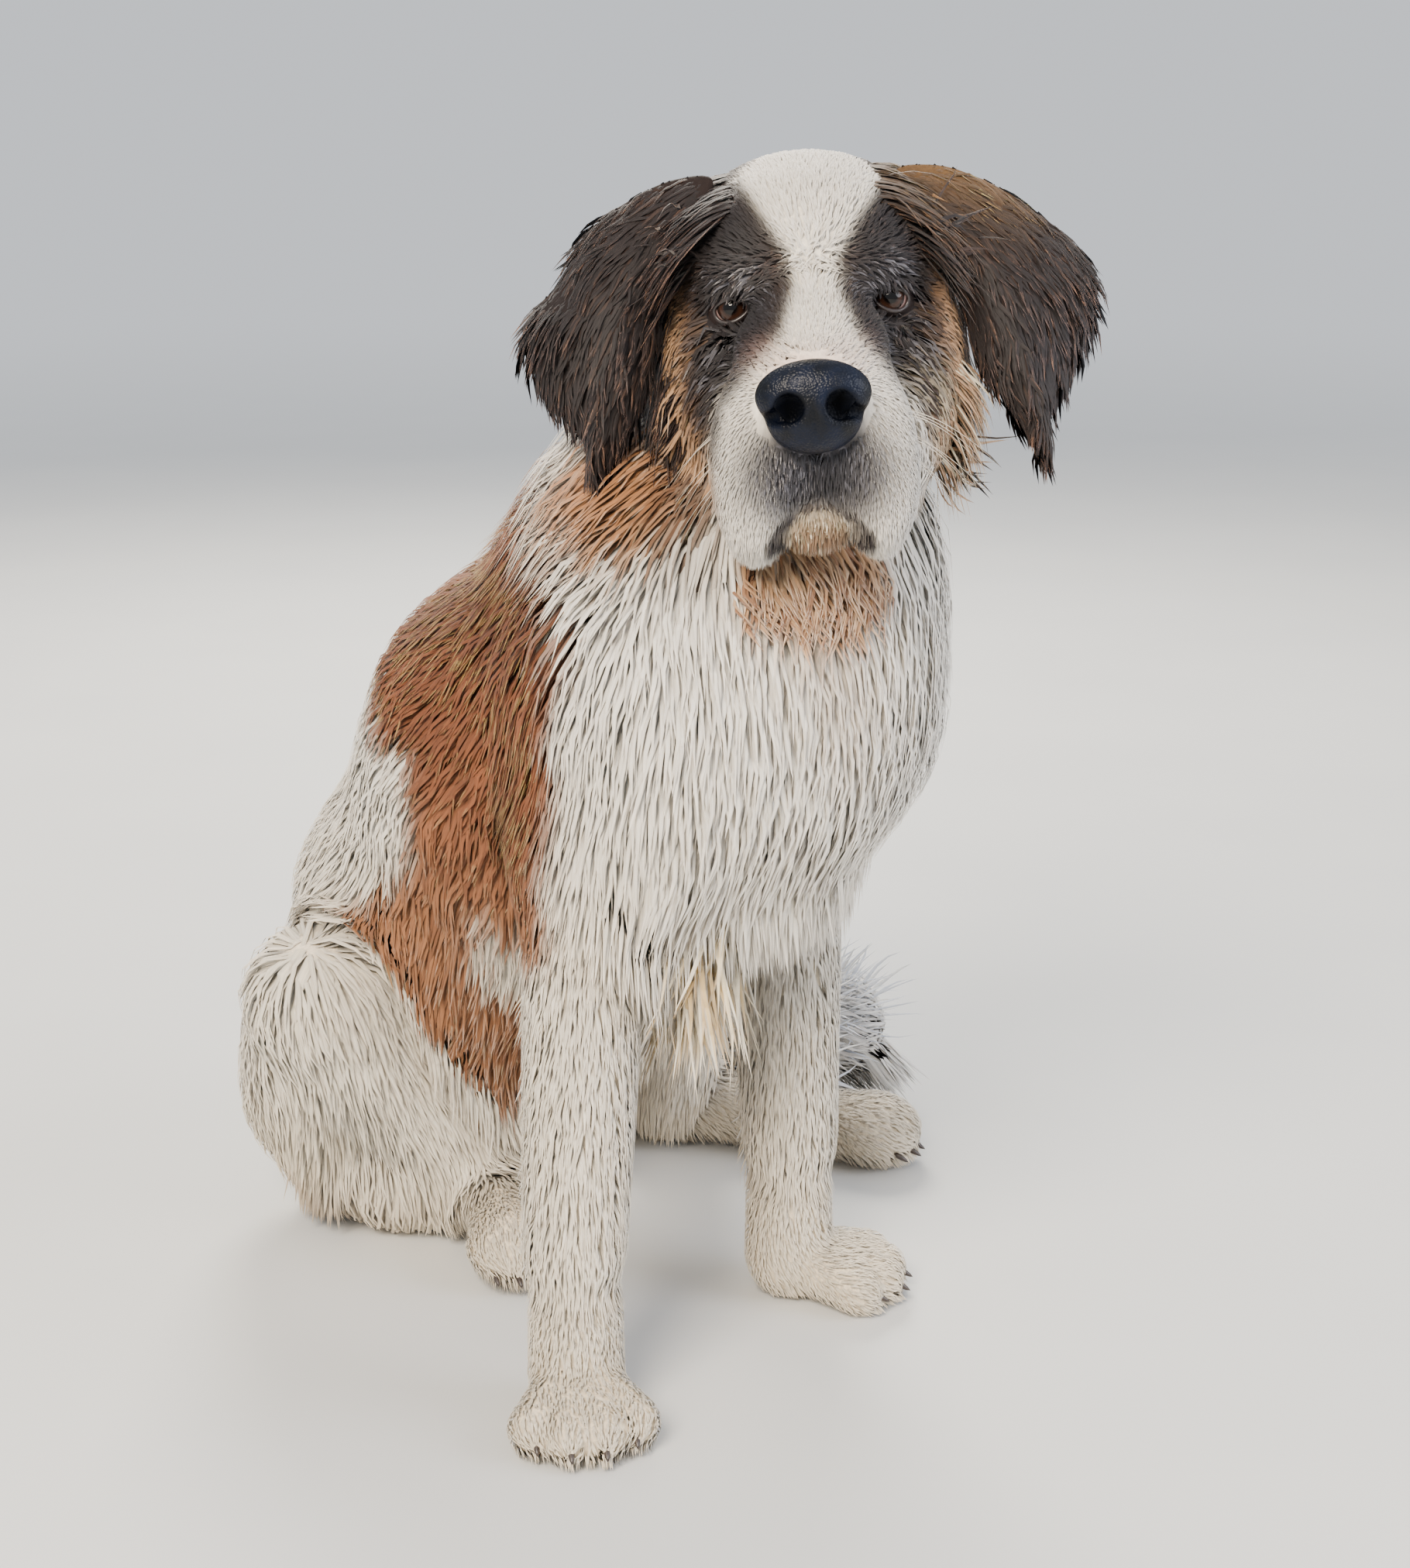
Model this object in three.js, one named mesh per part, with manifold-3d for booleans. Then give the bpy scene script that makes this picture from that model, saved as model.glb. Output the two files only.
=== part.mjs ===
// A long-haired Saint Bernard, life size, sitting with its head turned to its right.
// Millimetres. +Z is up, the chest faces -Y and the dog's left side is +X.
// The body is a set of named masses under a coat. Each node is a closed skin wrapped
// round its own masses, carrying the coat's locks, and cut clear of its neighbours.

import * as THREE from 'three';
import { mergeVertices } from 'three/addons/utils/BufferGeometryUtils.js';
import Module from 'manifold-3d';

const wasm = await Module();
wasm.setup();

// Driving dimensions
const gap = 0.3;
const seam = 0.08;
const coreShare = 0.5;
const shortCoat = 1;
const blend = 38;
const eyeRadius = 12.5;
const eyeSpacing = 99;
const eyeDepth = 1;
const eyesAt = new THREE.Vector3(3, -88, 766);
const headYaw = THREE.MathUtils.degToRad(-41);
const headRoll = THREE.MathUtils.degToRad(-4);
const noseAside = -6;

// Coat depth over each region
const coat = {
  back: 32,
  chest: 38,
  ruff: 48,
  haunch: 30,
  shank: 16,
  foreleg: 12,
  paw: 6,
  head: 6,
  muzzle: 4,
  tail: 66,
};

const vec = (p) => new THREE.Vector3(...p);

// A bone with its flesh: a tapered capsule from a to b
const bone = (a, ra, b, rb, hair) => {
  const from = vec(a);
  const line = vec(b).sub(from);
  const lengthSq = line.lengthSq();
  return (p, share) => {
    const t = THREE.MathUtils.clamp(p.clone().sub(from).dot(line) / lengthSq, 0, 1);
    const near = from.clone().addScaledVector(line, t);
    return p.distanceTo(near) - THREE.MathUtils.lerp(ra, rb, t) - hair * share;
  };
};

// A rounded mass of flesh: an ellipsoid, turned by Euler angles in degrees
const lump = (at, radii, hair, turn = [0, 0, 0]) => {
  const centre = vec(at);
  const angles = turn.map(THREE.MathUtils.degToRad);
  const back = new THREE.Quaternion().setFromEuler(new THREE.Euler(...angles)).invert();
  const size = vec(radii);
  return (p, share) => {
    const q = p.clone().sub(centre).applyQuaternion(back);
    const r = size.clone().addScalar(hair * share);
    const k0 = q.clone().divide(r).length();
    const k1 = q.clone().divide(r).divide(r).length();
    return k1 < 1e-9 ? -Math.min(r.x, r.y, r.z) : (k0 * (k0 - 1)) / k1;
  };
};

// Masses run into one another over the blending distance
const field = (masses, share, soft = blend) => (p) => {
  let d = masses[0](p, share);
  for (const mass of masses.slice(1)) {
    const e = mass(p, share);
    const h = Math.max(soft - Math.abs(d - e), 0) / soft;
    d = Math.min(d, e) - h * h * soft * 0.25;
  }
  return d;
};

// The outermost crossing of a field along a ray
const castStep = 6;
const castFar = 330;
function cast(shape, from, dir) {
  let far = castFar;
  const at = (d) => shape(from.clone().addScaledVector(dir, d));
  while (far > castStep && at(far) > 0) far -= castStep;
  let near = far;
  far += castStep;
  for (let i = 0; i < 14; i += 1) {
    const mid = (near + far) / 2;
    if (at(mid) > 0) far = mid;
    else near = mid;
  }
  return near;
}

// The ray of a ring: its centre on the axis, its direction, and the way the body runs.
// v goes from pole to pole, and the first and last shares of it are the rounded ends.
function ringRay({ curve, across = [1, 0, 0], capShare }, v, angle) {
  const t = THREE.MathUtils.clamp((v - capShare) / (1 - 2 * capShare), 0, 1);
  const overStart = Math.max(capShare - v, 0) / capShare;
  const overEnd = Math.max(v - (1 - capShare), 0) / capShare;
  const tilt = ((overEnd - overStart) * Math.PI) / 2;
  const isPole = v < 1e-6 || v > 1 - 1e-6;
  const along = curve.getTangentAt(t);
  const top = new THREE.Vector3().crossVectors(vec(across), along).normalize();
  const side = new THREE.Vector3().crossVectors(along, top).normalize();
  const dir = side.multiplyScalar(Math.cos(angle)).addScaledVector(top, Math.sin(angle));
  dir.multiplyScalar(isPole ? 0 : Math.cos(tilt)).addScaledVector(along, Math.sin(tilt));
  return { from: curve.getPointAt(t), dir: dir.normalize(), along };
}

// A closed skin round a field: rings of rays cast from an axis, with rounded ends
function wrap({ shape, axis, sides, rings, capRows = 3, across, grow = 0 }) {
  const curve = new THREE.CatmullRomCurve3(axis.map(vec));
  const base = new THREE.SphereGeometry(1, sides, rings);
  const { uv, position } = base.attributes;
  for (let i = 0; i < position.count; i += 1) {
    const v = Math.round((1 - uv.getY(i)) * rings) / rings;
    const isPole = v === 0 || v === 1;
    const angle = isPole ? 0 : (Math.round(uv.getX(i) * sides) % sides) * ((2 * Math.PI) / sides);
    const { from, dir } = ringRay({ curve, across, capShare: capRows / rings }, v, angle);
    position.setXYZ(i, ...from.addScaledVector(dir, cast(shape, from, dir) + grow).toArray());
  }
  return base;
}

// A three.js geometry as a manifold-3d solid, faces pointing out
function solid(geometry) {
  const bare = new THREE.BufferGeometry();
  bare.setAttribute('position', geometry.getAttribute('position'));
  bare.setIndex(geometry.getIndex());
  const merged = mergeVertices(bare, 1e-4);
  const { array } = merged.attributes.position;
  const corners = [];
  for (let i = 0; i < merged.index.count; i += 3) {
    const [a, b, c] = merged.index.array.slice(i, i + 3);
    if (a !== b && b !== c && c !== a) corners.push(a, b, c);
  }
  const build = (triVerts) => new wasm.Manifold(new wasm.Mesh({
    numProp: 3,
    vertProperties: Float32Array.from(array),
    triVerts: Uint32Array.from(triVerts),
  }));
  const made = build(corners);
  return made.volume() > 0 ? made : build(corners.reverse());
}

// Seeded random numbers, so that the coat falls the same way each time
let seed = 20;
function random() {
  seed = (seed * 16807) % 2147483647;
  return seed / 2147483647;
}
const vary = (spread) => 1 + (random() * 2 - 1) * spread;

// The way out of a field at a point
function outward(shape, p) {
  const step = 2;
  const rise = ['x', 'y', 'z'].map((axis) => {
    const q = p.clone();
    q[axis] += step;
    return shape(q) - shape(p);
  });
  return vec(rise).normalize();
}

// Moves a point out or in until it lies at a level of the field
function settle(shape, p, level) {
  const q = p.clone();
  for (let i = 0; i < 4; i += 1) q.addScaledVector(outward(shape, q), level - shape(q));
  return q;
}

// One lock: a cone flattened, tapered and bent from its sunk root to its tip
const lockSides = 4;
const lockSteps = 3;
const lockWidths = [0.72, 1, 0.72, 0];
const lockDepths = [1, 1, 0.66, 0];
const lockReach = 2;
const lockSpacing = 3.1;
function lock({ root, middle, tip, out, width, thick }, grow = 0) {
  const cone = new THREE.ConeGeometry(1, 1, lockSides, lockSteps);
  const { position } = cone.attributes;
  const path = new THREE.QuadraticBezierCurve3(root, middle, tip);
  const places = path.getPoints(lockSteps);
  const lastStep = tip.clone().sub(places[lockSteps - 1]);
  places[0].addScaledVector(path.getTangent(0), -grow * lockReach);
  places[lockSteps].addScaledVector(lastStep, (grow * lockReach) / thick);
  for (let i = 0; i < position.count; i += 1) {
    const step = Math.round((position.getY(i) + 0.5) * lockSteps);
    const round = Math.max(1 - step / lockSteps, 1e-9);
    const along = path.getTangent(step / lockSteps);
    const side = new THREE.Vector3().crossVectors(out, along).normalize();
    const up = new THREE.Vector3().crossVectors(along, side);
    const half = step === lockSteps ? 0 : width * lockWidths[step] * (1 + grow / thick);
    const deep = step === lockSteps ? 0 : thick * lockDepths[step] + grow * 1.5;
    const place = places[step].clone();
    place.addScaledVector(side, (position.getX(i) / round) * half);
    place.addScaledVector(up, (position.getZ(i) / round) * deep);
    position.setXYZ(i, ...place.toArray());
  }
  return cone;
}

// A zone of coat: rows of locks over part of a body, each lying back along the body and down.
// v and angle bound the zone, size names the locks, and clear lists fields the roots keep out of.
function combed({ masses, soft, axis, across, capShare, share }, zones) {
  const core = field(masses, share, soft);
  const tips = field(masses, 1, soft);
  const ray = { curve: new THREE.CatmullRomCurve3(axis.map(vec)), across, capShare };
  const locks = [];
  for (const { rows, angles, size, fall = 0.5, drift = [0, 0, 0], keepOff = [] } of zones) {
    const [fromAngle, toAngle] = angles.map(THREE.MathUtils.degToRad);
    rows.forEach((v, row) => {
      const at = (angle) => {
        const { from, dir, along } = ringRay(ray, v, angle);
        return { p: from.clone().addScaledVector(dir, cast(core, from, dir)), along };
      };
      const middleOfRow = (fromAngle + toAngle) / 2;
      const reach = at(middleOfRow).p.distanceTo(at(middleOfRow + 0.3).p) / 0.3;
      const count = Math.max(2, Math.round((reach * (toAngle - fromAngle)) / (size.width * lockSpacing)));
      for (let k = 0; k < count; k += 1) {
        const share = (k + 0.5 + (row % 2 ? 0.25 : -0.25) + (random() - 0.5) * 0.3) / count;
        const { p, along } = at(fromAngle + share * (toAngle - fromAngle));
        const shrink = vary(0.16);
        if (keepOff.some((shape) => shape(p) < size.width * 0.3) || p.z < 24) continue;
        const out = outward(core, p);
        const lie = along.clone().multiplyScalar(1 - fall).add(new THREE.Vector3(0, 0, -fall)).add(vec(drift));
        lie.addScaledVector(out, -lie.dot(out)).normalize();
        lie.applyAxisAngle(out, (random() - 0.5) * 0.35);
        const root = p.clone().addScaledVector(out, -size.thick * 1.3).addScaledVector(lie, -size.thick);
        const middle = settle(tips, p.clone().addScaledVector(lie, size.length * 0.45), size.lift);
        const tip = settle(tips, p.clone().addScaledVector(lie, size.length * shrink), size.rise ?? -1);
        if (tip.z < 4) tip.z = 4;
        const width = size.width * shrink;
        locks.push({ root, middle, tip, out, width, thick: size.thick });
      }
    });
  }
  return locks;
}

const largest = (body) => body.decompose().sort((a, b) => b.volume() - a.volume())[0];

// Head frame: X to the dog's left, Y backward, Z up, origin midway between the eyes
const headTurn = new THREE.Matrix4()
  .makeTranslation(eyesAt)
  .multiply(new THREE.Matrix4().makeRotationZ(headYaw))
  .multiply(new THREE.Matrix4().makeRotationY(headRoll));
const toHead = headTurn.clone().invert();
const headSpace = (shape) => (p) => shape(p.clone().applyMatrix4(toHead));
const placeOnHead = (geometry) => geometry.applyMatrix4(headTurn);

// Places on the skeleton; the right side is -X
const foreleg = {
  right: { shoulder: [-84, 0, 490], elbow: [-88, 34, 390], wrist: [-134, -6, 124], toes: [-170, -62, 30] },
  left: { shoulder: [104, 10, 490], elbow: [112, 52, 390], wrist: [112, 42, 124], toes: [158, -12, 30] },
};
const hindleg = {
  right: { hip: [-56, 392, 112], knee: [-138, 296, 232], hock: [2, 284, 62], toes: [-36, 192, 30] },
  left: { hip: [84, 356, 136], knee: [186, 236, 240], hock: [232, 340, 52], toes: [338, 176, 30] },
};
const tailPath = [[10, 440, 120], [110, 490, 74], [250, 440, 70], [360, 350, 72], [416, 296, 78]];

// Torso
const torsoMasses = [
  lump([14, -20, 500], [112, 88, 118], coat.chest),
  bone([12, 30, 520], 116, [6, 182, 426], 118, coat.back),
  bone([6, 182, 420], 112, [4, 312, 272], 102, coat.back),
  bone([4, 312, 264], 98, [4, 354, 150], 92, coat.back),
  lump([-78, 0, 470], [48, 66, 108], coat.chest),
  lump([104, 8, 484], [46, 64, 92], coat.chest),
  lump([4, 352, 80], [98, 86, 76], coat.back),
];

// Neck and ruff
const neckMasses = [
  bone([54, 4, 720], 66, [26, 40, 596], 90, coat.ruff),
  lump([34, -46, 604], [84, 54, 84], coat.chest),
];

// The trunk runs from the top of the neck to the rump, and is parted at two seams
const trunkAxis = [
  [52, 2, 716], [40, 10, 660], [28, 26, 596], [16, 70, 520],
  [8, 140, 440], [5, 220, 360], [4, 292, 270], [4, 334, 160],
];
const seams = {
  collar: { at: [30, 16, 618], up: [0.16, -0.3, 0.94] },
  loin: { at: [6, 196, 400], up: [0, -0.72, 0.69] },
};

// Locks by region: half width, length, half thickness, and how high they arch over the tips' level
const locks = {
  ruff: { width: 32, length: 132, thick: 10, lift: 6 },
  chest: { width: 36, length: 150, thick: 10, lift: 2 },
  back: { width: 38, length: 176, thick: 10, lift: -2 },
  belly: { width: 32, length: 130, thick: 10, lift: 0 },
  haunch: { width: 32, length: 120, thick: 9, lift: -4, rise: -6 },
  breeches: { width: 20, length: 84, thick: 8, lift: 2, rise: 4 },
  feather: { width: 14, length: 90, thick: 8, lift: 6, rise: 10 },
  tail: { width: 22, length: 140, thick: 9, lift: 10, rise: 16 },
};

// Head, in its own frame
const headMasses = [
  lump([0, 66, 20], [84, 92, 70], coat.head),
  lump([0, 10, 34], [58, 40, 40], coat.head),
  lump([-40, 12, 26], [26, 26, 20], coat.head),
  lump([40, 12, 26], [26, 26, 20], coat.head),
  lump([-58, 46, -38], [34, 52, 60], coat.head),
  lump([58, 46, -38], [34, 52, 60], coat.head),
  lump([-46, 20, -74], [34, 50, 48], coat.head),
  lump([46, 20, -74], [34, 50, 48], coat.head),
  bone([0, 0, -20], 40, [noseAside, -84, -52], 38, coat.muzzle),
  lump([noseAside / 2, -40, -26], [44, 34, 30], coat.muzzle),
  lump([noseAside, -60, -76], [50, 44, 34], coat.muzzle),
  lump([noseAside - 34, -68, -90], [29, 44, 60], coat.muzzle, [0, 6, 0]),
  lump([noseAside + 34, -68, -90], [29, 44, 60], coat.muzzle, [0, -6, 0]),
  lump([0, 30, -80], [52, 60, 40], coat.head),
];
const headAxis = [[0, 96, 4], [0, 50, -14], [0, 0, -40], [0, -44, -64], [0, -70, -72]];
const jawMasses = [
  bone([0, 0, -96], 30, [noseAside, -72, -110], 21, coat.muzzle),
  lump([noseAside, -72, -110], [28, 24, 21], coat.muzzle),
];
const jawAxis = [[0, 6, -98], [0, -40, -106], [0, -74, -112]];

// Legs
function forelegMasses({ shoulder, elbow, wrist }) {
  return [
    bone(shoulder, 42, elbow, 40, coat.foreleg),
    bone(elbow, 38, wrist, 27, coat.foreleg),
  ];
}

// Each toe: how far across the paw and how far ahead of its middle
const toeSpread = [[-34, -14], [-12, 0], [12, 0], [34, -14]];
const toeTip = { height: 18, radius: 16 };
const toeRoot = 20;
const pastern = { top: 74, radius: 27 };
const heelPad = { height: 30, radius: 30 };
function pawMasses({ wrist, toes }) {
  const [x, y] = wrist;
  const heel = [x, y, heelPad.height];
  const ahead = vec(toes).sub(vec(heel)).normalize();
  const across = new THREE.Vector3().crossVectors(ahead, vec([0, 0, 1])).normalize();
  const masses = [bone([x, y, pastern.top], pastern.radius, heel, heelPad.radius, coat.paw)];
  for (const [offset, forward] of toeSpread) {
    const tip = vec(toes).addScaledVector(across, offset).addScaledVector(ahead, forward);
    masses.push(bone(heel, toeRoot, [tip.x, tip.y, toeTip.height], toeTip.radius, coat.paw));
  }
  return masses;
}

// A point part of the way between two others, at a height of its own if one is given
function between(a, b, share, height) {
  const p = vec(a).lerp(vec(b), share);
  return [p.x, p.y, height ?? p.z];
}

const forelegAxis = ({ shoulder, elbow, wrist }) => [shoulder, elbow, [wrist[0], wrist[1], wrist[2] + 10]];
const pawAxis = ({ wrist, toes }) => [
  between(wrist, toes, 0, 76),
  between(wrist, toes, 0.25, 40),
  between(wrist, toes, 0.7, 28),
];

const thighMasses = ({ hip, knee }) => [
  bone(hip, 66, knee, 42, coat.haunch),
];
const thighAxis = ({ hip, knee }) => [hip, between(hip, knee, 0.5), knee];
const shankMasses = ({ knee, hock }) => [
  bone(knee, 44, hock, 32, coat.shank),
];
const shankAxis = ({ knee, hock }) => [knee, between(knee, hock, 0.5), hock];
const hindFootMasses = ({ hock, toes }) => [
  bone(between(hock, toes, 0, 40), 26, toes, 26, coat.paw),
  lump(toes, [38, 34, 24], coat.paw),
];
const hindFootAxis = ({ hock, toes }) => [
  between(hock, toes, 0, 40),
  between(hock, toes, 0.5, 36),
  between(hock, toes, 1, 34),
];

const tailMasses = [
  bone(tailPath[0], 24, tailPath[1], 22, coat.tail * 0.6),
  bone(tailPath[1], 22, tailPath[2], 18, coat.tail * 0.8),
  bone(tailPath[2], 18, tailPath[3], 12, coat.tail),
  bone(tailPath[3], 12, tailPath[4], 6, coat.tail * 0.6),
];

// Eyes
function eye(sign, grow = 0) {
  const ball = new THREE.SphereGeometry(eyeRadius + grow, 12, 8);
  ball.translate(sign * eyeSpacing / 2, eyeDepth, 0);
  return solid(placeOnHead(ball));
}

// Lids: a rolled rim round each eye's opening, set as deep as the eye
const lid = { across: 13, up: 9.2, thick: 3.2, inward: 2, forward: -14, turn: 0.26 };
function lidRim(sign) {
  const rim = new THREE.TorusGeometry(lid.across, lid.thick, 5, 12);
  rim.scale(1, lid.up / lid.across, 1);
  rim.rotateX(Math.PI / 2);
  rim.rotateZ(sign * lid.turn);
  rim.translate(sign * (eyeSpacing / 2 - lid.inward), lid.forward, 0);
  return solid(placeOnHead(rim));
}

function lidOpening(sign) {
  const hole = new THREE.SphereGeometry(1, 12, 6);
  hole.scale(lid.across - 1.6, 26, lid.up - 1.6);
  hole.rotateZ(sign * lid.turn);
  hole.translate(sign * (eyeSpacing / 2 - lid.inward), lid.forward, 0);
  return solid(placeOnHead(hole));
}

// Nose leather with its two nostrils
const nostril = { at: [17, -138, -51], size: [8.5, 13, 9.5], turn: 0.5 };
function nose(grow = 0) {
  const shape = field([
    lump([noseAside, -122, -44], [35, 17, 21], grow),
    lump([noseAside, -119, -62], [27, 17, 18], grow),
  ], 1, 12);
  const axis = [[noseAside, -106, -50], [noseAside, -116, -52]];
  return solid(placeOnHead(wrap({ shape, axis, sides: 14, rings: 9, capRows: 4 })));
}

function nostrils() {
  return [-1, 1].map((sign) => {
    const pit = new THREE.SphereGeometry(1, 8, 6);
    pit.scale(...nostril.size);
    pit.rotateY(sign * nostril.turn);
    pit.translate(noseAside + sign * nostril.at[0], nostril.at[1], nostril.at[2]);
    return solid(placeOnHead(pit));
  });
}

// Ear: a flap whose outline is a closed curve, bowed outward and folded at its base.
// Outline points are across and down from the ear's middle.
const earOutlines = {
  right: [
    [60, 74], [18, 64], [-16, 46], [-42, 10], [-70, -18], [-54, -58],
    [-30, -88], [-24, -126], [-2, -104], [18, -66], [40, -24], [60, 8],
  ],
  left: [
    [-58, 70], [-20, 66], [24, 44], [62, 8], [70, -26], [52, -66],
    [34, -92], [30, -128], [6, -96], [-22, -58], [-52, -6],
  ],
};
const earMiddle = { right: [-128, 36, 4], left: [124, 44, 4] };
const earThick = 9;
const earBow = 26;
const earSweep = 0.22;
const earTilt = 0.22;
function ear(side) {
  const sign = side === 'left' ? 1 : -1;
  const outline = new THREE.CatmullRomCurve3(
    earOutlines[side].map(([across, up]) => new THREE.Vector3(across, 0, up)),
    true,
    'centripetal',
  );
  const flap = new THREE.SphereGeometry(1, 20, 8);
  const { uv, position } = flap.attributes;
  for (let i = 0; i < position.count; i += 1) {
    const polar = uv.getY(i) * Math.PI;
    const rim = outline.getPoint(uv.getX(i) % 1);
    const out = Math.sin(polar);
    const bow = earBow * (1 - out * out);
    const x = rim.x * out;
    const z = rim.z * out;
    const y = Math.cos(polar) * earThick - bow + earSweep * sign * x + earTilt * z;
    position.setXYZ(i, x, y, z);
  }
  flap.translate(...earMiddle[side]);
  return placeOnHead(flap);
}

const grown = gap + 0.05;

// A wrapped body with the locks it carries, and the same body a gap larger,
// which its neighbours are cut by
function coated(recipe, zones = []) {
  const { masses, soft, rings, capRows = 3, share = shortCoat } = recipe;
  const shape = field(masses, share, soft);
  const hair = combed({ ...recipe, share, capShare: capRows / rings }, zones);
  const fuse = (grow) => {
    const body = solid(wrap({ ...recipe, shape, grow }));
    return wasm.Manifold.union([body, ...hair.map((one) => solid(lock(one, grow)))]);
  };
  return { full: fuse(0), clear: fuse(grown) };
}

function headPair({ masses, soft, ...rest }) {
  const shape = field(masses, shortCoat, soft);
  const make = (grow) => solid(placeOnHead(wrap({ shape, ...rest, grow })));
  return { full: make(0), clear: make(grown) };
}

// Places no lock is rooted: inside the legs or the head
const legFields = ['right', 'left'].flatMap((side) => [
  field(forelegMasses(foreleg[side]), 1),
  field([...thighMasses(hindleg[side]), ...shankMasses(hindleg[side])], 1),
]);
const headField = headSpace(field(headMasses, 1, 20));
const trunk = coated(
  { masses: [...torsoMasses, ...neckMasses], axis: trunkAxis, sides: 20, rings: 22, share: coreShare },
  [
    { rows: [0.17, 0.23, 0.29], angles: [-90, 270], size: locks.ruff, fall: 0.6, keepOff: [headField] },
    { rows: [0.1], angles: [10, 170], size: locks.ruff, fall: 0.6, keepOff: [headField] },
    { rows: [0.36, 0.46], angles: [205, 335], size: locks.chest, fall: 0.9, keepOff: legFields },
    { rows: [0.38, 0.51, 0.64, 0.77], angles: [-20, 200], size: locks.back, fall: 0.3, keepOff: legFields },
    { rows: [0.64, 0.76], angles: [205, 335], size: locks.belly, fall: 0.5, keepOff: legFields },
    { rows: [0.88], angles: [0, 180], size: locks.haunch, fall: 0.8, keepOff: legFields },
  ],
);
const nodes = {
  eye_right: { full: eye(-1), clear: eye(-1, grown) },
  eye_left: { full: eye(1), clear: eye(1, grown) },
  nose: { full: nose(), clear: nose(grown * 2) },
  jaw: headPair({ masses: jawMasses, axis: jawAxis, sides: 12, rings: 10, soft: 12 }),
  head: headPair({ masses: headMasses, axis: headAxis, sides: 28, rings: 23, capRows: 5, soft: 20 }),
  ear_right: { full: solid(ear('right')) },
  ear_left: { full: solid(ear('left')) },
  neck: { full: trunk.full, clear: trunk.clear },
  chest: { full: trunk.full, clear: trunk.clear },
  rump: { full: trunk.full, clear: trunk.clear },
  tail: coated(
    { masses: tailMasses, axis: tailPath, sides: 10, rings: 12, across: [0, 0, 1], share: coreShare },
    [{ rows: [0.25, 0.45, 0.65, 0.85], angles: [0, 360], size: locks.tail, fall: 0 }],
  ),
};
for (const side of ['right', 'left']) {
  const front = foreleg[side];
  const rear = hindleg[side];
  nodes[`foreleg_${side}`] = coated(
    { masses: forelegMasses(front), axis: forelegAxis(front), sides: 12, rings: 12 },
    [{ rows: [0.45, 0.64], angles: [60, 120], size: locks.feather, fall: 0.8 }],
  );
  nodes[`forepaw_${side}`] = coated(
    { masses: pawMasses(front), soft: 10, axis: pawAxis(front), sides: 16, rings: 11, capRows: 4 },
  );
  nodes[`thigh_${side}`] = coated(
    { masses: thighMasses(rear), axis: thighAxis(rear), sides: 14, rings: 10, across: [0, 1, 0], share: coreShare },
    [{ rows: [0.25, 0.55, 0.85], angles: [0, 360], size: locks.haunch, fall: 0.9 }],
  );
  nodes[`shank_${side}`] = coated(
    { masses: shankMasses(rear), axis: shankAxis(rear), sides: 12, rings: 10, across: [0, 1, 0] },
    [{ rows: [0.45, 0.65], angles: [200, 340], size: locks.breeches, fall: 0.6 }],
  );
  nodes[`hind_foot_${side}`] = coated(
    { masses: hindFootMasses(rear), soft: 16, axis: hindFootAxis(rear), sides: 12, rings: 12 },
  );
}
// Keeps what lies on one side of a seam, half a gap clear of it
function keepSide(body, { at, up }, sign) {
  const normal = vec(up).normalize().multiplyScalar(sign);
  return body.trimByPlane(normal.toArray(), vec(at).dot(normal) + gap / 2);
}
nodes.neck.full = keepSide(trunk.full, seams.collar, 1);
nodes.chest.full = keepSide(keepSide(trunk.full, seams.collar, -1), seams.loin, 1);
nodes.rump.full = keepSide(trunk.full, seams.loin, -1);
// The thighs meet at the middle of the rump
const rumpMiddle = 4;
nodes.thigh_right.full = nodes.thigh_right.full.trimByPlane([-1, 0, 0], -rumpMiddle + gap / 2);
nodes.thigh_left.full = nodes.thigh_left.full.trimByPlane([1, 0, 0], rumpMiddle + gap / 2);
for (const sign of [-1, 1]) {
  nodes.head.full = nodes.head.full.add(lidRim(sign)).subtract(lidOpening(sign));
}
nodes.nose.full = nostrils().reduce((body, pit) => body.subtract(pit), nodes.nose.full);

// Each node is cut clear of the ones named after it
const trunkCutters = [
  'head', 'jaw', 'foreleg_right', 'foreleg_left', 'thigh_right', 'thigh_left',
  'shank_right', 'shank_left', 'hind_foot_right', 'hind_foot_left',
];
const cutBy = {
  head: ['eye_right', 'eye_left', 'nose', 'jaw'],
  ear_right: ['head', 'neck'],
  ear_left: ['head', 'neck'],
  jaw: [],
  neck: ['head', 'jaw', 'foreleg_right', 'foreleg_left'],
  foreleg_right: ['forepaw_right'],
  foreleg_left: ['forepaw_left'],
  shank_right: ['hind_foot_right'],
  shank_left: ['hind_foot_left'],
  thigh_right: ['shank_right', 'hind_foot_right'],
  thigh_left: ['shank_left', 'hind_foot_left', 'shank_right', 'hind_foot_right'],
  chest: [...trunkCutters],
  rump: [...trunkCutters],
  tail: ['rump', 'thigh_left', 'thigh_right', 'shank_left', 'hind_foot_left'],
};

// Colours
const looks = {
  white: { color: 0xe8e0d4, roughness: 0.9, metalness: 0 },
  rust: { color: 0x9a4f24, roughness: 0.85, metalness: 0 },
  dark: { color: 0x2f2320, roughness: 0.85, metalness: 0 },
  nose: { color: 0x1c2026, roughness: 0.45, metalness: 0 },
  eye: { color: 0x3a2114, roughness: 0.1, metalness: 0 },
};
const lookOf = (name) => {
  if (name.startsWith('eye')) return looks.eye;
  if (name.startsWith('ear')) return looks.dark;
  if (name === 'nose') return looks.nose;
  if (name === 'rump') return looks.rust;
  return looks.white;
};

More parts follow.
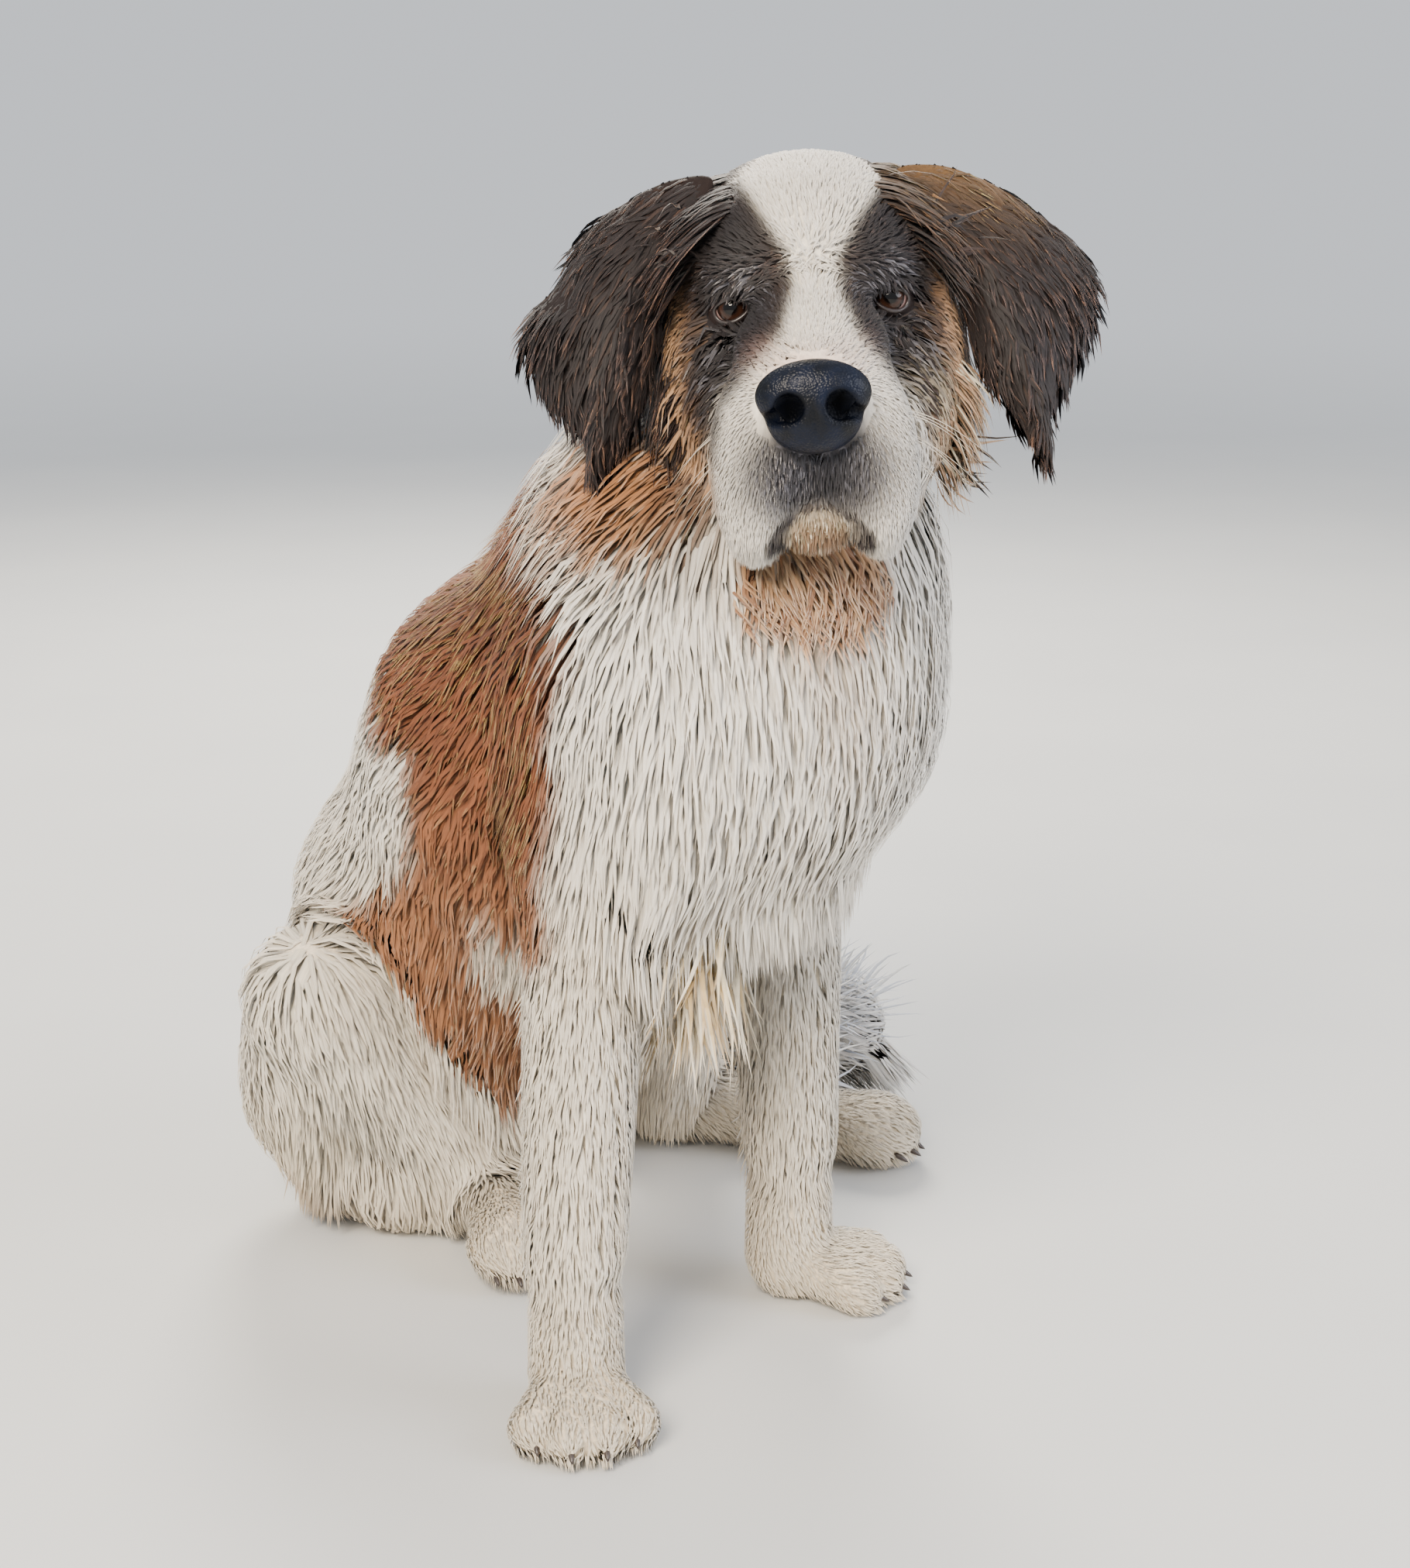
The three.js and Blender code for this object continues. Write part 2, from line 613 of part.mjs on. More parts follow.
function meshOf(name, body) {
  const { vertProperties, triVerts } = body.getMesh();
  const geometry = new THREE.BufferGeometry();
  geometry.setAttribute('position', new THREE.BufferAttribute(Float32Array.from(vertProperties), 3));
  geometry.setIndex(new THREE.BufferAttribute(Uint32Array.from(triVerts), 1));
  geometry.computeVertexNormals();
  const mesh = new THREE.Mesh(geometry, new THREE.MeshStandardMaterial(lookOf(name)));
  mesh.name = name;
  return mesh;
}

const dog = new THREE.Group();
for (const [name, { full }] of Object.entries(nodes)) {
  let body = full;
  for (const cutter of cutBy[name] ?? []) body = body.subtract(nodes[cutter].clear);
  body = largest(body.trimByPlane([0, 0, 1], 0)).simplify(seam);
  dog.add(meshOf(name, body));
}

// The origin is on the floor under the middle of the whole dog
const extent = new THREE.Box3().setFromObject(dog);
const middle = extent.getCenter(new THREE.Vector3());
dog.position.set(-middle.x, -middle.y, 0);

export default dog;
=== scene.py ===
import math

import bpy
import numpy as np
from mathutils import Matrix, Vector
from mathutils.kdtree import KDTree


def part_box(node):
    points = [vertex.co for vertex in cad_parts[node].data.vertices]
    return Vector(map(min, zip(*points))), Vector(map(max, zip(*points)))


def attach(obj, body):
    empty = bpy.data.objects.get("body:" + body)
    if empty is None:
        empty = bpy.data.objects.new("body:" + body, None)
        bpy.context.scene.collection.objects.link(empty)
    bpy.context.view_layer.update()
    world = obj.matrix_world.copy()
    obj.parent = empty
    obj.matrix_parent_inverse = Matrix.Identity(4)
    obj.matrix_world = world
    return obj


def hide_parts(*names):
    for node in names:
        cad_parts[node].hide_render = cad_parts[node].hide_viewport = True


# A long-haired Saint Bernard, sitting with its head turned to its right.
# The dog is laid out in millimetres in its own frame: +Z up, the chest faces -Y, its left is +X.
# place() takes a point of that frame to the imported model, in metres.

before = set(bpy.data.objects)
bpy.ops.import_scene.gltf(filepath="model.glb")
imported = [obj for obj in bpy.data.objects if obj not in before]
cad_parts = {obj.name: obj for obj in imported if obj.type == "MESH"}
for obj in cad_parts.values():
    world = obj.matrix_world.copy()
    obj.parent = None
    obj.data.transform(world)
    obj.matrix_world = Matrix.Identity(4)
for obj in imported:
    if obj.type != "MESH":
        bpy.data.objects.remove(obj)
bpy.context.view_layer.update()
dice = np.random.default_rng(20)

MM = 0.001
TINY = 1e-9
FAR = 1000
# Hair that reaches the floor lies this far over it
FLOOR_GAP = 2.5

# The head: where the eyes are, how it is turned, and how far the nose is aside of its middle
EYE_RADIUS = 12.5
EYE_SPACING = 99.0
EYE_DEPTH = 1.0
EYES_AT = np.array([3.0, -88.0, 766.0])
HEAD_YAW = math.radians(-41)
HEAD_ROLL = math.radians(-4)
NOSE_ASIDE = -6.0
CHEEK_COAT = 13
EYE_OPENING = 9.8


def turned(axis, angle):
    """The matrix of a turn round an axis."""
    return np.array(Matrix.Rotation(angle, 3, axis))


def unit(vectors):
    """Vectors, or rows of them, at length one."""
    return vectors / (np.linalg.norm(vectors, axis=-1, keepdims=True) + TINY)


def dot(a, b):
    """The product of vectors, row by row."""
    return np.einsum("ij,ij->i", a, b)


HEAD = turned("Z", HEAD_YAW) @ turned("Y", HEAD_ROLL)


def from_head(points):
    """Points of the head's frame in the dog's frame."""
    return np.asarray(points, float) @ HEAD.T + EYES_AT


def to_head(points):
    """Points of the dog's frame in the head's frame."""
    return (np.asarray(points, float) - EYES_AT) @ HEAD


low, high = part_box("eye_right")
SHIFT = np.array((low + high) / 2) - from_head([-EYE_SPACING / 2, EYE_DEPTH, 0]) * MM


def place(points):
    """Points of the dog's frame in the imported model."""
    return np.asarray(points, float) * MM + SHIFT


# Looks of the coat by region, in millimetres: tuft length, half width, spacing,
# how far it stands off the skin, how much it waves and how strongly it gathers into locks
LOOKS = {
    "muzzle": (8, 0.8, 1.9, 0.5, 0.0, 0.1),
    "face": (11, 0.9, 2.1, 0.6, 0.2, 0.15),
    "skull": (16, 1.1, 2.45, 0.8, 0.3, 0.2),
    "cheek": (36, 1.6, 3.0, 1.0, 1.4, 0.3),
    "ruff": (84, 2.35, 4.7, 1.0, 2.4, 0.2),
    "chest": (84, 2.35, 4.7, 1.0, 2.0, 0.2),
    "back": (62, 2.45, 4.7, 1.0, 4.5, 0.4),
    "rump": (72, 2.35, 4.9, 1.0, 2.4, 0.25),
    "thigh": (66, 2.3, 4.6, 1.0, 1.6, 0.2),
    "shank": (46, 2.1, 4.2, 1.0, 1.2, 0.2),
    "foreleg": (28, 1.6, 3.8, 0.75, 0.9, 0.2),
    "paw": (12, 1.25, 3.1, 0.7, 0.3, 0.15),
    "tail": (95, 2.5, 3.6, 1.0, 4.0, 0.3),
}
# Columns of the traits of a point: the coat's depth, then the look's numbers
DEPTH, LENGTH, WIDTH, SPACING, STAND, WAVE, GATHER = range(7)

# The body's masses, as in the solids


class Mass:
    """A bone or lump of flesh, the depth of its coat, its look and the way the coat lies."""

    def __init__(self, level, rough, coat, look, lie):
        self.level = level
        self.rough = rough
        self.coat = coat
        self.look = look
        self.lie = unit(np.array(lie, float))


def rod(a, ra, b, rb):
    """Distance outside a rod that tapers between two points."""
    a, b = np.array(a, float), np.array(b, float)
    line = b - a

    def level(points):
        t = np.clip((points - a) @ line / (line @ line), 0, 1)
        near = a + t[:, None] * line
        return np.linalg.norm(points - near, axis=1) - (ra + (rb - ra) * t)

    return level


def oval(at, radii, turn=np.eye(3)):
    """Rough distance outside an ellipsoid."""
    at, radii = np.array(at, float), np.array(radii, float)

    def level(points):
        q = (points - at) @ turn
        k0 = np.linalg.norm(q / radii, axis=1)
        k1 = np.linalg.norm(q / radii**2, axis=1) + TINY
        return k0 * (k0 - 1) / k1

    return level


def bone(a, ra, b, rb, coat, look, lie=None):
    """A long mass between two points, with its radius at each."""
    a, b = np.array(a, float), np.array(b, float)
    rough = [(a + (b - a) * t, [ra + (rb - ra) * t] * 3, np.eye(3)) for t in np.linspace(0, 1, 5)]
    return Mass(rod(a, ra, b, rb), rough, coat, look, b - a if lie is None else lie)


def lump(at, radii, coat, look, lie, roll=0.0):
    """A rounded mass with three radii."""
    turn = turned("Y", math.radians(roll))
    return Mass(oval(at, radii, turn), [(at, radii, turn)], coat, look, lie)


def two_lumps(aside, y, z, radii, coat, look, lie, roll=0.0, middle=0.0):
    """A lump on each side of a middle, as mirror images."""
    return [lump((middle + side * aside, y, z), radii, coat, look, (side * lie[0], *lie[1:]), -side * roll)
            for side in (-1, 1)]


def smooth_min(a, b, soft):
    """The lesser of two fields, blended where they are close."""
    h = np.maximum(soft - np.abs(a - b), 0) / soft
    return np.minimum(a, b) - h * h * soft * 0.25


class Region:
    """Masses that run into one another over a blending distance, in the dog's or the head's frame."""

    def __init__(self, name, masses, soft, on_head=False):
        self.name = name
        self.masses = masses
        self.soft = soft
        self.on_head = on_head

    def level(self, points):
        points = to_head(points) if self.on_head else points
        total = self.masses[0].level(points)
        for mass in self.masses[1:]:
            total = smooth_min(total, mass.level(points), self.soft)
        if self.name == "head":
            total = face_details(points, total)
        return total


def face_details(points, total):
    """Eye sockets with the folds over and under them, the mouth, the philtrum and the muzzle's wrinkles."""
    for sign in (-1, 1):
        socket = oval((sign * EYE_SPACING / 2, -17, -1.5), (15, 14, 10.5))
        brow = rod((sign * 34, -15, 14), 4.5, (sign * 64, 0, 8), 4.0)
        bag = rod((sign * 37, -16, -16), 3.4, (sign * 60, -8, -16), 3.0)
        total = cut(total, socket(points), 5)
        total = smooth_min(total, brow(points), 7)
        total = smooth_min(total, bag(points), 6)
    philtrum = rod((NOSE_ASIDE, -112, -72), 2.4, (NOSE_ASIDE, -106, -114), 2.0)
    total = cut(total, mouth_level(points), 4)
    total = cut(total, philtrum(points), 3)
    x, y, z = points.T
    off = x - NOSE_ASIDE
    on_bridge = soft_step(np.abs(off) - 34, 5) * soft_step(y + 66, 6) * soft_step(np.abs(z + 26) - 13, 3)
    return total + WRINKLE_DEPTH * on_bridge * np.sin((z - 0.012 * off**2) * 0.95)


def cut(total, hollow, soft):
    """A field with a hollow taken out of it."""
    return -smooth_min(-total, hollow, soft)


def soft_step(value, soft):
    """1 where value is well below zero, 0 well above it."""
    return 1 / (1 + np.exp(np.clip(value / soft, -30, 30)))


mouth_level = oval((NOSE_ASIDE, -112, -152), (36, 48, 37))
WRINKLE_DEPTH = 0.8

FORELEG = {
    "right": dict(shoulder=(-84, 0, 490), elbow=(-88, 34, 390), wrist=(-134, -6, 124), toes=(-170, -62, 30)),
    "left": dict(shoulder=(104, 10, 490), elbow=(112, 52, 390), wrist=(112, 42, 124), toes=(158, -12, 30)),
}
HINDLEG = {
    "right": dict(hip=(-56, 392, 112), knee=(-138, 296, 232), hock=(2, 284, 62), toes=(-36, 192, 30)),
    "left": dict(hip=(84, 356, 136), knee=(186, 236, 240), hock=(232, 340, 52), toes=(338, 176, 30)),
}
TAIL = [(10, 440, 120), (110, 490, 74), (250, 440, 70), (360, 350, 72), (416, 296, 78)]


def toe_tips(wrist, toes):
    """The four toes' tips of a forepaw, its heel, and the way the paw points."""
    toes = np.array(toes, float)
    heel = np.array([wrist[0], wrist[1], 30.0])
    ahead = unit(toes - heel)
    across = unit(np.cross(ahead, (0, 0, 1)))
    spots = ((-34, -14), (-12, 0), (12, 0), (34, -14))
    tips = [toes + across * offset + ahead * forward for offset, forward in spots]
    for tip in tips:
        tip[2] = 18.0
    return heel, tips, ahead


def make_regions():
    """The parts of the body with their masses. The numbers after a mass are its coat and look."""
    trunk = [
        lump((14, -20, 500), (112, 88, 118), 38, "chest", (0, -0.2, -1)),
        bone((12, 30, 520), 116, (6, 182, 426), 118, 32, "back", (0, 0.6, -0.7)),
        bone((6, 182, 420), 112, (4, 312, 272), 102, 32, "back", (0, 0.5, -0.8)),
        bone((4, 312, 264), 98, (4, 354, 150), 92, 32, "rump", (0, 0.3, -0.95)),
        lump((-78, 0, 470), (48, 66, 108), 38, "chest", (0, 0.25, -1)),
        lump((104, 8, 484), (46, 64, 92), 38, "chest", (0, 0.25, -1)),
        lump((4, 352, 80), (98, 86, 76), 32, "rump", (0, 0.4, -0.9)),
        bone((54, 4, 720), 66, (26, 40, 596), 90, 48, "ruff", (0, 0.15, -1)),
        lump((34, -46, 604), (84, 54, 84), 38, "ruff", (0, -0.1, -1)),
    ]
    head = [
        lump((0, 66, 20), (84, 92, 70), 6, "skull", (0, 1, -0.15)),
        lump((0, 10, 34), (58, 40, 40), 6, "face", (0, 0.9, 0.4)),
        *two_lumps(40, 12, 26, (26, 26, 20), 6, "face", (0.5, 0.8, 0.5)),
        *two_lumps(58, 46, -38, (34, 52, 60), CHEEK_COAT, "cheek", (0.2, 0.8, -0.6)),
        *two_lumps(46, 20, -74, (34, 50, 48), CHEEK_COAT, "cheek", (0.2, 0.7, -0.8)),
        bone((0, 0, -20), 40, (NOSE_ASIDE, -84, -52), 38, 4, "muzzle", (0, 1, 0.2)),
        lump((NOSE_ASIDE / 2, -40, -26), (44, 34, 30), 4, "muzzle", (0, 1, 0.2)),
        lump((NOSE_ASIDE, -60, -76), (50, 44, 34), 4, "muzzle", (0, 0.4, -1)),
        *two_lumps(34, -68, -90, (29, 44, 60), 4, "muzzle", (0.25, 0.5, -1), 6, NOSE_ASIDE),
        lump((0, 30, -80), (52, 60, 40), 6, "cheek", (0, 0.6, -1)),
    ]
    jaw = [
        bone((0, 0, -96), 30, (NOSE_ASIDE, -66, -112), 19, 4, "face", (0, 0.4, -1)),
        lump((NOSE_ASIDE, -76, -124), (26, 20, 17), 4, "face", (0, 0.2, -1)),
    ]
    regions = [
        Region("trunk", trunk, 38),
        Region("head", head, 20, on_head=True),
        Region("jaw", jaw, 12, on_head=True),
    ]
    for side in ("right", "left"):
        fore, hind = FORELEG[side], HINDLEG[side]
        leg = [
            bone(fore["shoulder"], 42, fore["elbow"], 40, 12, "foreleg"),
            bone(fore["elbow"], 38, fore["wrist"], 30, 12, "foreleg"),
        ]
        heel, tips, ahead = toe_tips(fore["wrist"], fore["toes"])
        paw = [bone((heel[0], heel[1], 74), 30, heel, 31, 6, "paw")]
        paw += [bone(heel, 20, tip, 16, 6, "paw", ahead) for tip in tips]
        thigh = [bone(hind["hip"], 66, hind["knee"], 42, 30, "thigh", (0, 0.35, -1))]
        shank = [bone(hind["knee"], 44, hind["hock"], 32, 16, "shank")]
        hock = (hind["hock"][0], hind["hock"][1], 40)
        foot = [
            bone(hock, 26, hind["toes"], 26, 6, "paw"),
            lump(hind["toes"], (38, 34, 24), 6, "paw", np.subtract(hind["toes"], hock)),
        ]
        regions += [
            Region(f"foreleg_{side}", leg, 38),
            Region(f"forepaw_{side}", paw, 6),
            Region(f"thigh_{side}", thigh, 38),
            Region(f"shank_{side}", shank, 38),
            Region(f"hind_foot_{side}", foot, 16),
        ]
    sizes = [(24, 22, 40), (22, 18, 53), (18, 12, 66), (12, 6, 40)]
    tail = [bone(TAIL[i], ra, TAIL[i + 1], rb, coat, "tail") for i, (ra, rb, coat) in enumerate(sizes)]
    return regions + [Region("tail", tail, 38)]


REGIONS = make_regions()
JOIN = 14.0
JAW_JOIN = 3.0
SHARING = 9.0


def skin_level(points):
    """Distance outside the skin, in millimetres, negative inside it."""
    head = smooth_min(REGIONS[1].level(points), REGIONS[2].level(points), JAW_JOIN)
    total = smooth_min(REGIONS[0].level(points), head, JOIN)
    for region in REGIONS[3:]:
        total = smooth_min(total, region.level(points), JOIN)
    return total


def slope(level, points, step=1.5):
    """Unit direction out of a field."""
    here = level(points)
    rise = np.stack([level(points + np.eye(3)[i] * step) - here for i in range(3)], axis=1)
    return here, unit(rise)


def settle(level, points, target=0.0, rounds=5, most=6.0):
    """Moves points along a field's slope until they lie at a level of it."""
    points = points.copy()
    for _ in range(rounds):
        here, out = slope(level, points)
        points += out * np.clip(target - here, -most, most)[:, None]
    return points


def traits_at(points):
    """Coat depth and look, lie and region name of each point, shared between the masses near it."""
    distance, rows, lies, owner = [], [], [], []
    for region in REGIONS:
        local = to_head(points) if region.on_head else points
        for mass in region.masses:
            distance.append(mass.level(local))
            rows.append([mass.coat, *LOOKS[mass.look]])
            lies.append(HEAD @ mass.lie if region.on_head else mass.lie)
            owner.append(region.name)
    distance = np.array(distance)
    weight = np.exp(-(distance - distance.min(axis=0)) / SHARING)
    weight /= weight.sum(axis=0)
    return weight.T @ np.array(rows), weight.T @ np.array(lies), np.array(owner)[distance.argmin(axis=0)]


def within(points, low_corner, high_corner):
    """Which points lie inside a box."""
    return ((points > low_corner) & (points < high_corner)).all(axis=1)


# Small helpers for objects and meshes


def linear(hex_colour):
    """sRGB hex to linear RGB."""
    parts = [int(hex_colour[i : i + 2], 16) / 255 for i in (1, 3, 5)]
    return np.array([c / 12.92 if c <= 0.04045 else ((c + 0.055) / 1.055) ** 2.4 for c in parts])


def deselect():
    bpy.ops.object.select_all(action="DESELECT")


def only(obj):
    deselect()
    obj.select_set(True)
    bpy.context.view_layer.objects.active = obj


def added(operator, location, **settings):
    """The new object of an operator that adds one."""
    deselect()
    operator(location=location, **settings)
    return bpy.context.object


def sphere(at, radii, turn, segments=24, ring_count=16):
    """An ellipsoid at a point of the dog's frame."""
    obj = added(bpy.ops.mesh.primitive_uv_sphere_add, place(at), segments=segments, ring_count=ring_count,
                radius=1)
    obj.rotation_euler = Matrix(turn.tolist()).to_euler()
    obj.scale = np.array(radii) * MM
    return obj


def apply_modifier(obj, kind, **settings):
    only(obj)
    modifier = obj.modifiers.new(kind, kind)
    for name, value in settings.items():
        setattr(modifier, name, value)
    bpy.ops.object.modifier_apply(modifier=modifier.name)


def joined(name, objects):
    deselect()
    for obj in objects:
        obj.select_set(True)
    bpy.context.view_layer.objects.active = objects[0]
    bpy.ops.object.join()
    bpy.ops.object.transform_apply(location=True, rotation=True, scale=True)
    obj = bpy.context.object
    obj.name = name
    return obj


def shade_smooth(obj):
    only(obj)
    bpy.ops.object.shade_smooth()


def points_of(obj):
    flat = np.zeros(len(obj.data.vertices) * 3)
    obj.data.vertices.foreach_get("co", flat)
    return (flat.reshape(-1, 3) - SHIFT) / MM


def move_to(obj, points):
    obj.data.vertices.foreach_set("co", place(points).ravel())
    obj.data.update()


def triangles_of(obj):
    obj.data.calc_loop_triangles()
    flat = np.zeros(len(obj.data.loop_triangles) * 3, int)
    obj.data.loop_triangles.foreach_get("vertices", flat)
    return flat.reshape(-1, 3)


def mesh_from(name, points, triangles):
    """A new smooth-shaded object from points in millimetres and rows of three corners."""
    mesh = bpy.data.meshes.new(name)
    mesh.vertices.add(len(points))
    mesh.vertices.foreach_set("co", place(points).astype(np.float32).ravel())
    mesh.loops.add(triangles.size)
    mesh.loops.foreach_set("vertex_index", triangles.astype(np.int32).ravel())
    mesh.polygons.add(len(triangles))
    mesh.polygons.foreach_set("loop_start", np.arange(0, triangles.size, 3, dtype=np.int32))
    mesh.polygons.foreach_set("use_smooth", np.ones(len(triangles), bool))
    mesh.update(calc_edges=True)
    mesh.validate()
    obj = bpy.data.objects.new(name, mesh)
    bpy.context.scene.collection.objects.link(obj)
    return obj


def ring_faces(rings, count, start=0):
    """Triangles between closed rings of points."""
    faces = []
    for row in range(rings - 1):
        for j in range(count):
            a, b = start + row * count + j, start + row * count + (j + 1) % count
            faces += [(a, b, b + count), (a, b + count, a + count)]
    return faces


def face_normals(points, triangles):
    """Each triangle's normal, twice as long as its area."""
    a, b, c = (points[triangles[:, i]] for i in range(3))
    return np.cross(b - a, c - a)


def paint(obj, colours):
    """Stores a colour at each point of a piece."""
    layer = obj.data.color_attributes.new("Coat", "FLOAT_COLOR", "POINT")
    rgba = np.ones((len(colours), 4), np.float32)
    rgba[:, :3] = colours
    layer.data.foreach_set("color", rgba.ravel())


def finish(obj, slot, material, *nodes):
    """Gives a piece its material, its ride and the nodes it replaces. slot is not used."""
    obj.data.materials.clear()
    obj.data.materials.append(material)
    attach(obj, "root")
    if nodes:
        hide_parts(*nodes)
    return obj


# Markings: where each colour of the coat lies

COLOURS = {
    "white": "#f9efde",
    "cream": "#ead4ae",
    "cool_white": "#eef1f6",
    "rust": "#80492a",
    "deep_rust": "#55301b",
    "light_rust": "#a06c47",
    "tan": "#b08560",
    "orange": "#a86c3e",
    "dark": "#1e1a1b",
    "dark_brown": "#281c17",
    "ear_brown": "#201613",
    "ear_streak": "#433026",
    "ear_gold": "#8d6a42",
    "grey": "#5f5d63",
    "charcoal": "#1a1a22",
    "olive": "#8c7a5c",
    "pink": "#cf9d8c",
    "lip": "#2b2425",
    "stain": "#8a5a3c",
}
COLOURS = {name: linear(hex_colour) for name, hex_colour in COLOURS.items()}


def brush(colours, spread):
    """Lays a colour over the others by a share at each point, save on a random part of the points."""

    def layer(name, share, tick=0.0):
        share = np.where(spread[:, 0] < tick, 0, share)[:, None]
        colours[:] = colours * (1 - share) + COLOURS[name] * share

    return layer


def outside(outline, x, y):
    """Distance outside a closed outline, negative inside it."""
    outline = np.array(outline, float)
    best = np.full(len(x), 1e9)
    crossings = np.zeros(len(x), int)
    for a, b in zip(outline, np.roll(outline, -1, axis=0)):
        edge = b - a
        px, py = x - a[0], y - a[1]
        t = np.clip((px * edge[0] + py * edge[1]) / (edge @ edge), 0, 1)
        best = np.minimum(best, np.hypot(px - t * edge[0], py - t * edge[1]))
        straddles = (a[1] > y) != (b[1] > y)
        meets = (b[0] - a[0]) * (y - a[1]) / (b[1] - a[1] + 1e-9) + a[0]
        crossings += straddles & (x < meets)
    return np.where(crossings % 2 == 1, -best, best)


def ball(points, at, radii):
    """Rough distance outside a rounded patch."""
    radii = np.array(radii, float)
    return (np.linalg.norm((points - np.array(at, float)) / radii, axis=1) - 1) * radii.min()


# Seen from the side, y and z: the rust blanket over the shoulder, back and belly
BLANKET = [
    (150, 690), (104, 640), (84, 604), (30, 588), (2, 558), (-16, 527), (-10, 496), (-6, 460),
    (-2, 420), (10, 380), (20, 330), (100, 300), (150, 320), (188, 276), (150, 210), (180, 120),
    (290, 150), (330, 270), (258, 312), (214, 340), (178, 388), (172, 432), (226, 446), (330, 520),
    (260, 640),
]
# Seen from the front, x and z in the head's frame: the white blaze and muzzle
BLAZE = [
    (-50, 104), (-41, 80), (-26, 56), (-15, 34), (-11, 14), (-21, -11), (-41, -30), (-60, -54),
    (-68, -92), (-66, -170), (66, -170), (68, -100), (61, -66), (43, -40), (25, -16), (17, 6),
    (17, 28), (30, 52), (52, 74), (62, 104),
]


def head_colours(points, layer):
    """The markings of the head, at points in its own frame."""
    x, y, z = points.T
    blaze = outside(BLAZE, x, z)
    narrowing = np.abs(x - 4) - np.interp(y, [30, 110], [50, 10])
    blaze = np.where(y > 30, np.maximum(blaze * (z < 60) + narrowing * (z >= 60), narrowing), blaze)
    layer("dark_brown", np.ones(len(x)))
    eye_side = np.where(x > 0, 1, -1)
    mask = np.hypot((x * eye_side - 55) / 29, (z + 2 + 0.35 * (x * eye_side - 56)) / 76) - 1
    layer("dark", soft_step(mask * 26, 3) * soft_step(y - 40, 8))
    brow = np.abs(np.hypot(x * eye_side - 50, z + 4) - 22 - 4 * np.sin(x)) - 7
    layer("grey", soft_step(brow, 3) * soft_step(-z + 6, 4) * soft_step(y - 30, 6), tick=0.7)
    layer("grey", 0.7 * soft_step(mask * 26, 6) * soft_step(z + 22, 6) * soft_step(y - 30, 6), tick=0.78)
    band = np.abs(x * eye_side - np.interp(z, [-110, -60, 0, 60, 90], [80, 94, 92, 82, 73])) - 8
    layer("tan", soft_step(band, 2.5) * soft_step(z - 74, 8) * soft_step(y - 52, 6))
    layer("tan", soft_step(np.maximum(z + 92, 60 - np.abs(x)), 6) * 0.9)
    fluffy = soft_step(np.maximum(z + 62, 72 - x), 8)
    layer("cream", 0.55 * fluffy, tick=0.35)
    layer("cream", soft_step(z + 124, 4) * soft_step(np.abs(x - NOSE_ASIDE) - 40, 6))
    layer("white", soft_step(blaze, 1.6))
    off_nose = np.abs(x - NOSE_ASIDE)
    bridge = soft_step(off_nose - 34, 6) * soft_step(np.abs(z + 27) - 11, 3) * soft_step(y + 62, 8)
    layer("pink", 0.4 * bridge)
    smudge = ball(points, (NOSE_ASIDE, -100, -96), (50, 62, 37))
    layer("grey", soft_step(smudge, 5) * 0.8)
    core = ball(points, (NOSE_ASIDE + 1, -118, -92), (43, 44, 36))
    layer("charcoal", soft_step(core, 5) * 0.95)
    layer("grey", soft_step(core, 5) * 0.8, tick=0.86)
    chin = soft_step(z + 112, 2) * soft_step(mouth_level(points) + 4, 2) * soft_step(y + 70, 3)
    layer("cream", 0.8 * chin)
    layer("olive", 0.95 * chin * soft_step(z + 121, 3), tick=0.1)
    layer("stain", 0.7 * chin * soft_step(z + 130, 6), tick=0.2)
    inside = np.abs(mouth_level(points)) - np.interp(z, [-150, -128, -116], [3.4, 2.2, 1.0])
    layer("lip", soft_step(inside, 0.6) * soft_step(y + 60, 4) * soft_step(-y - 104, 2))


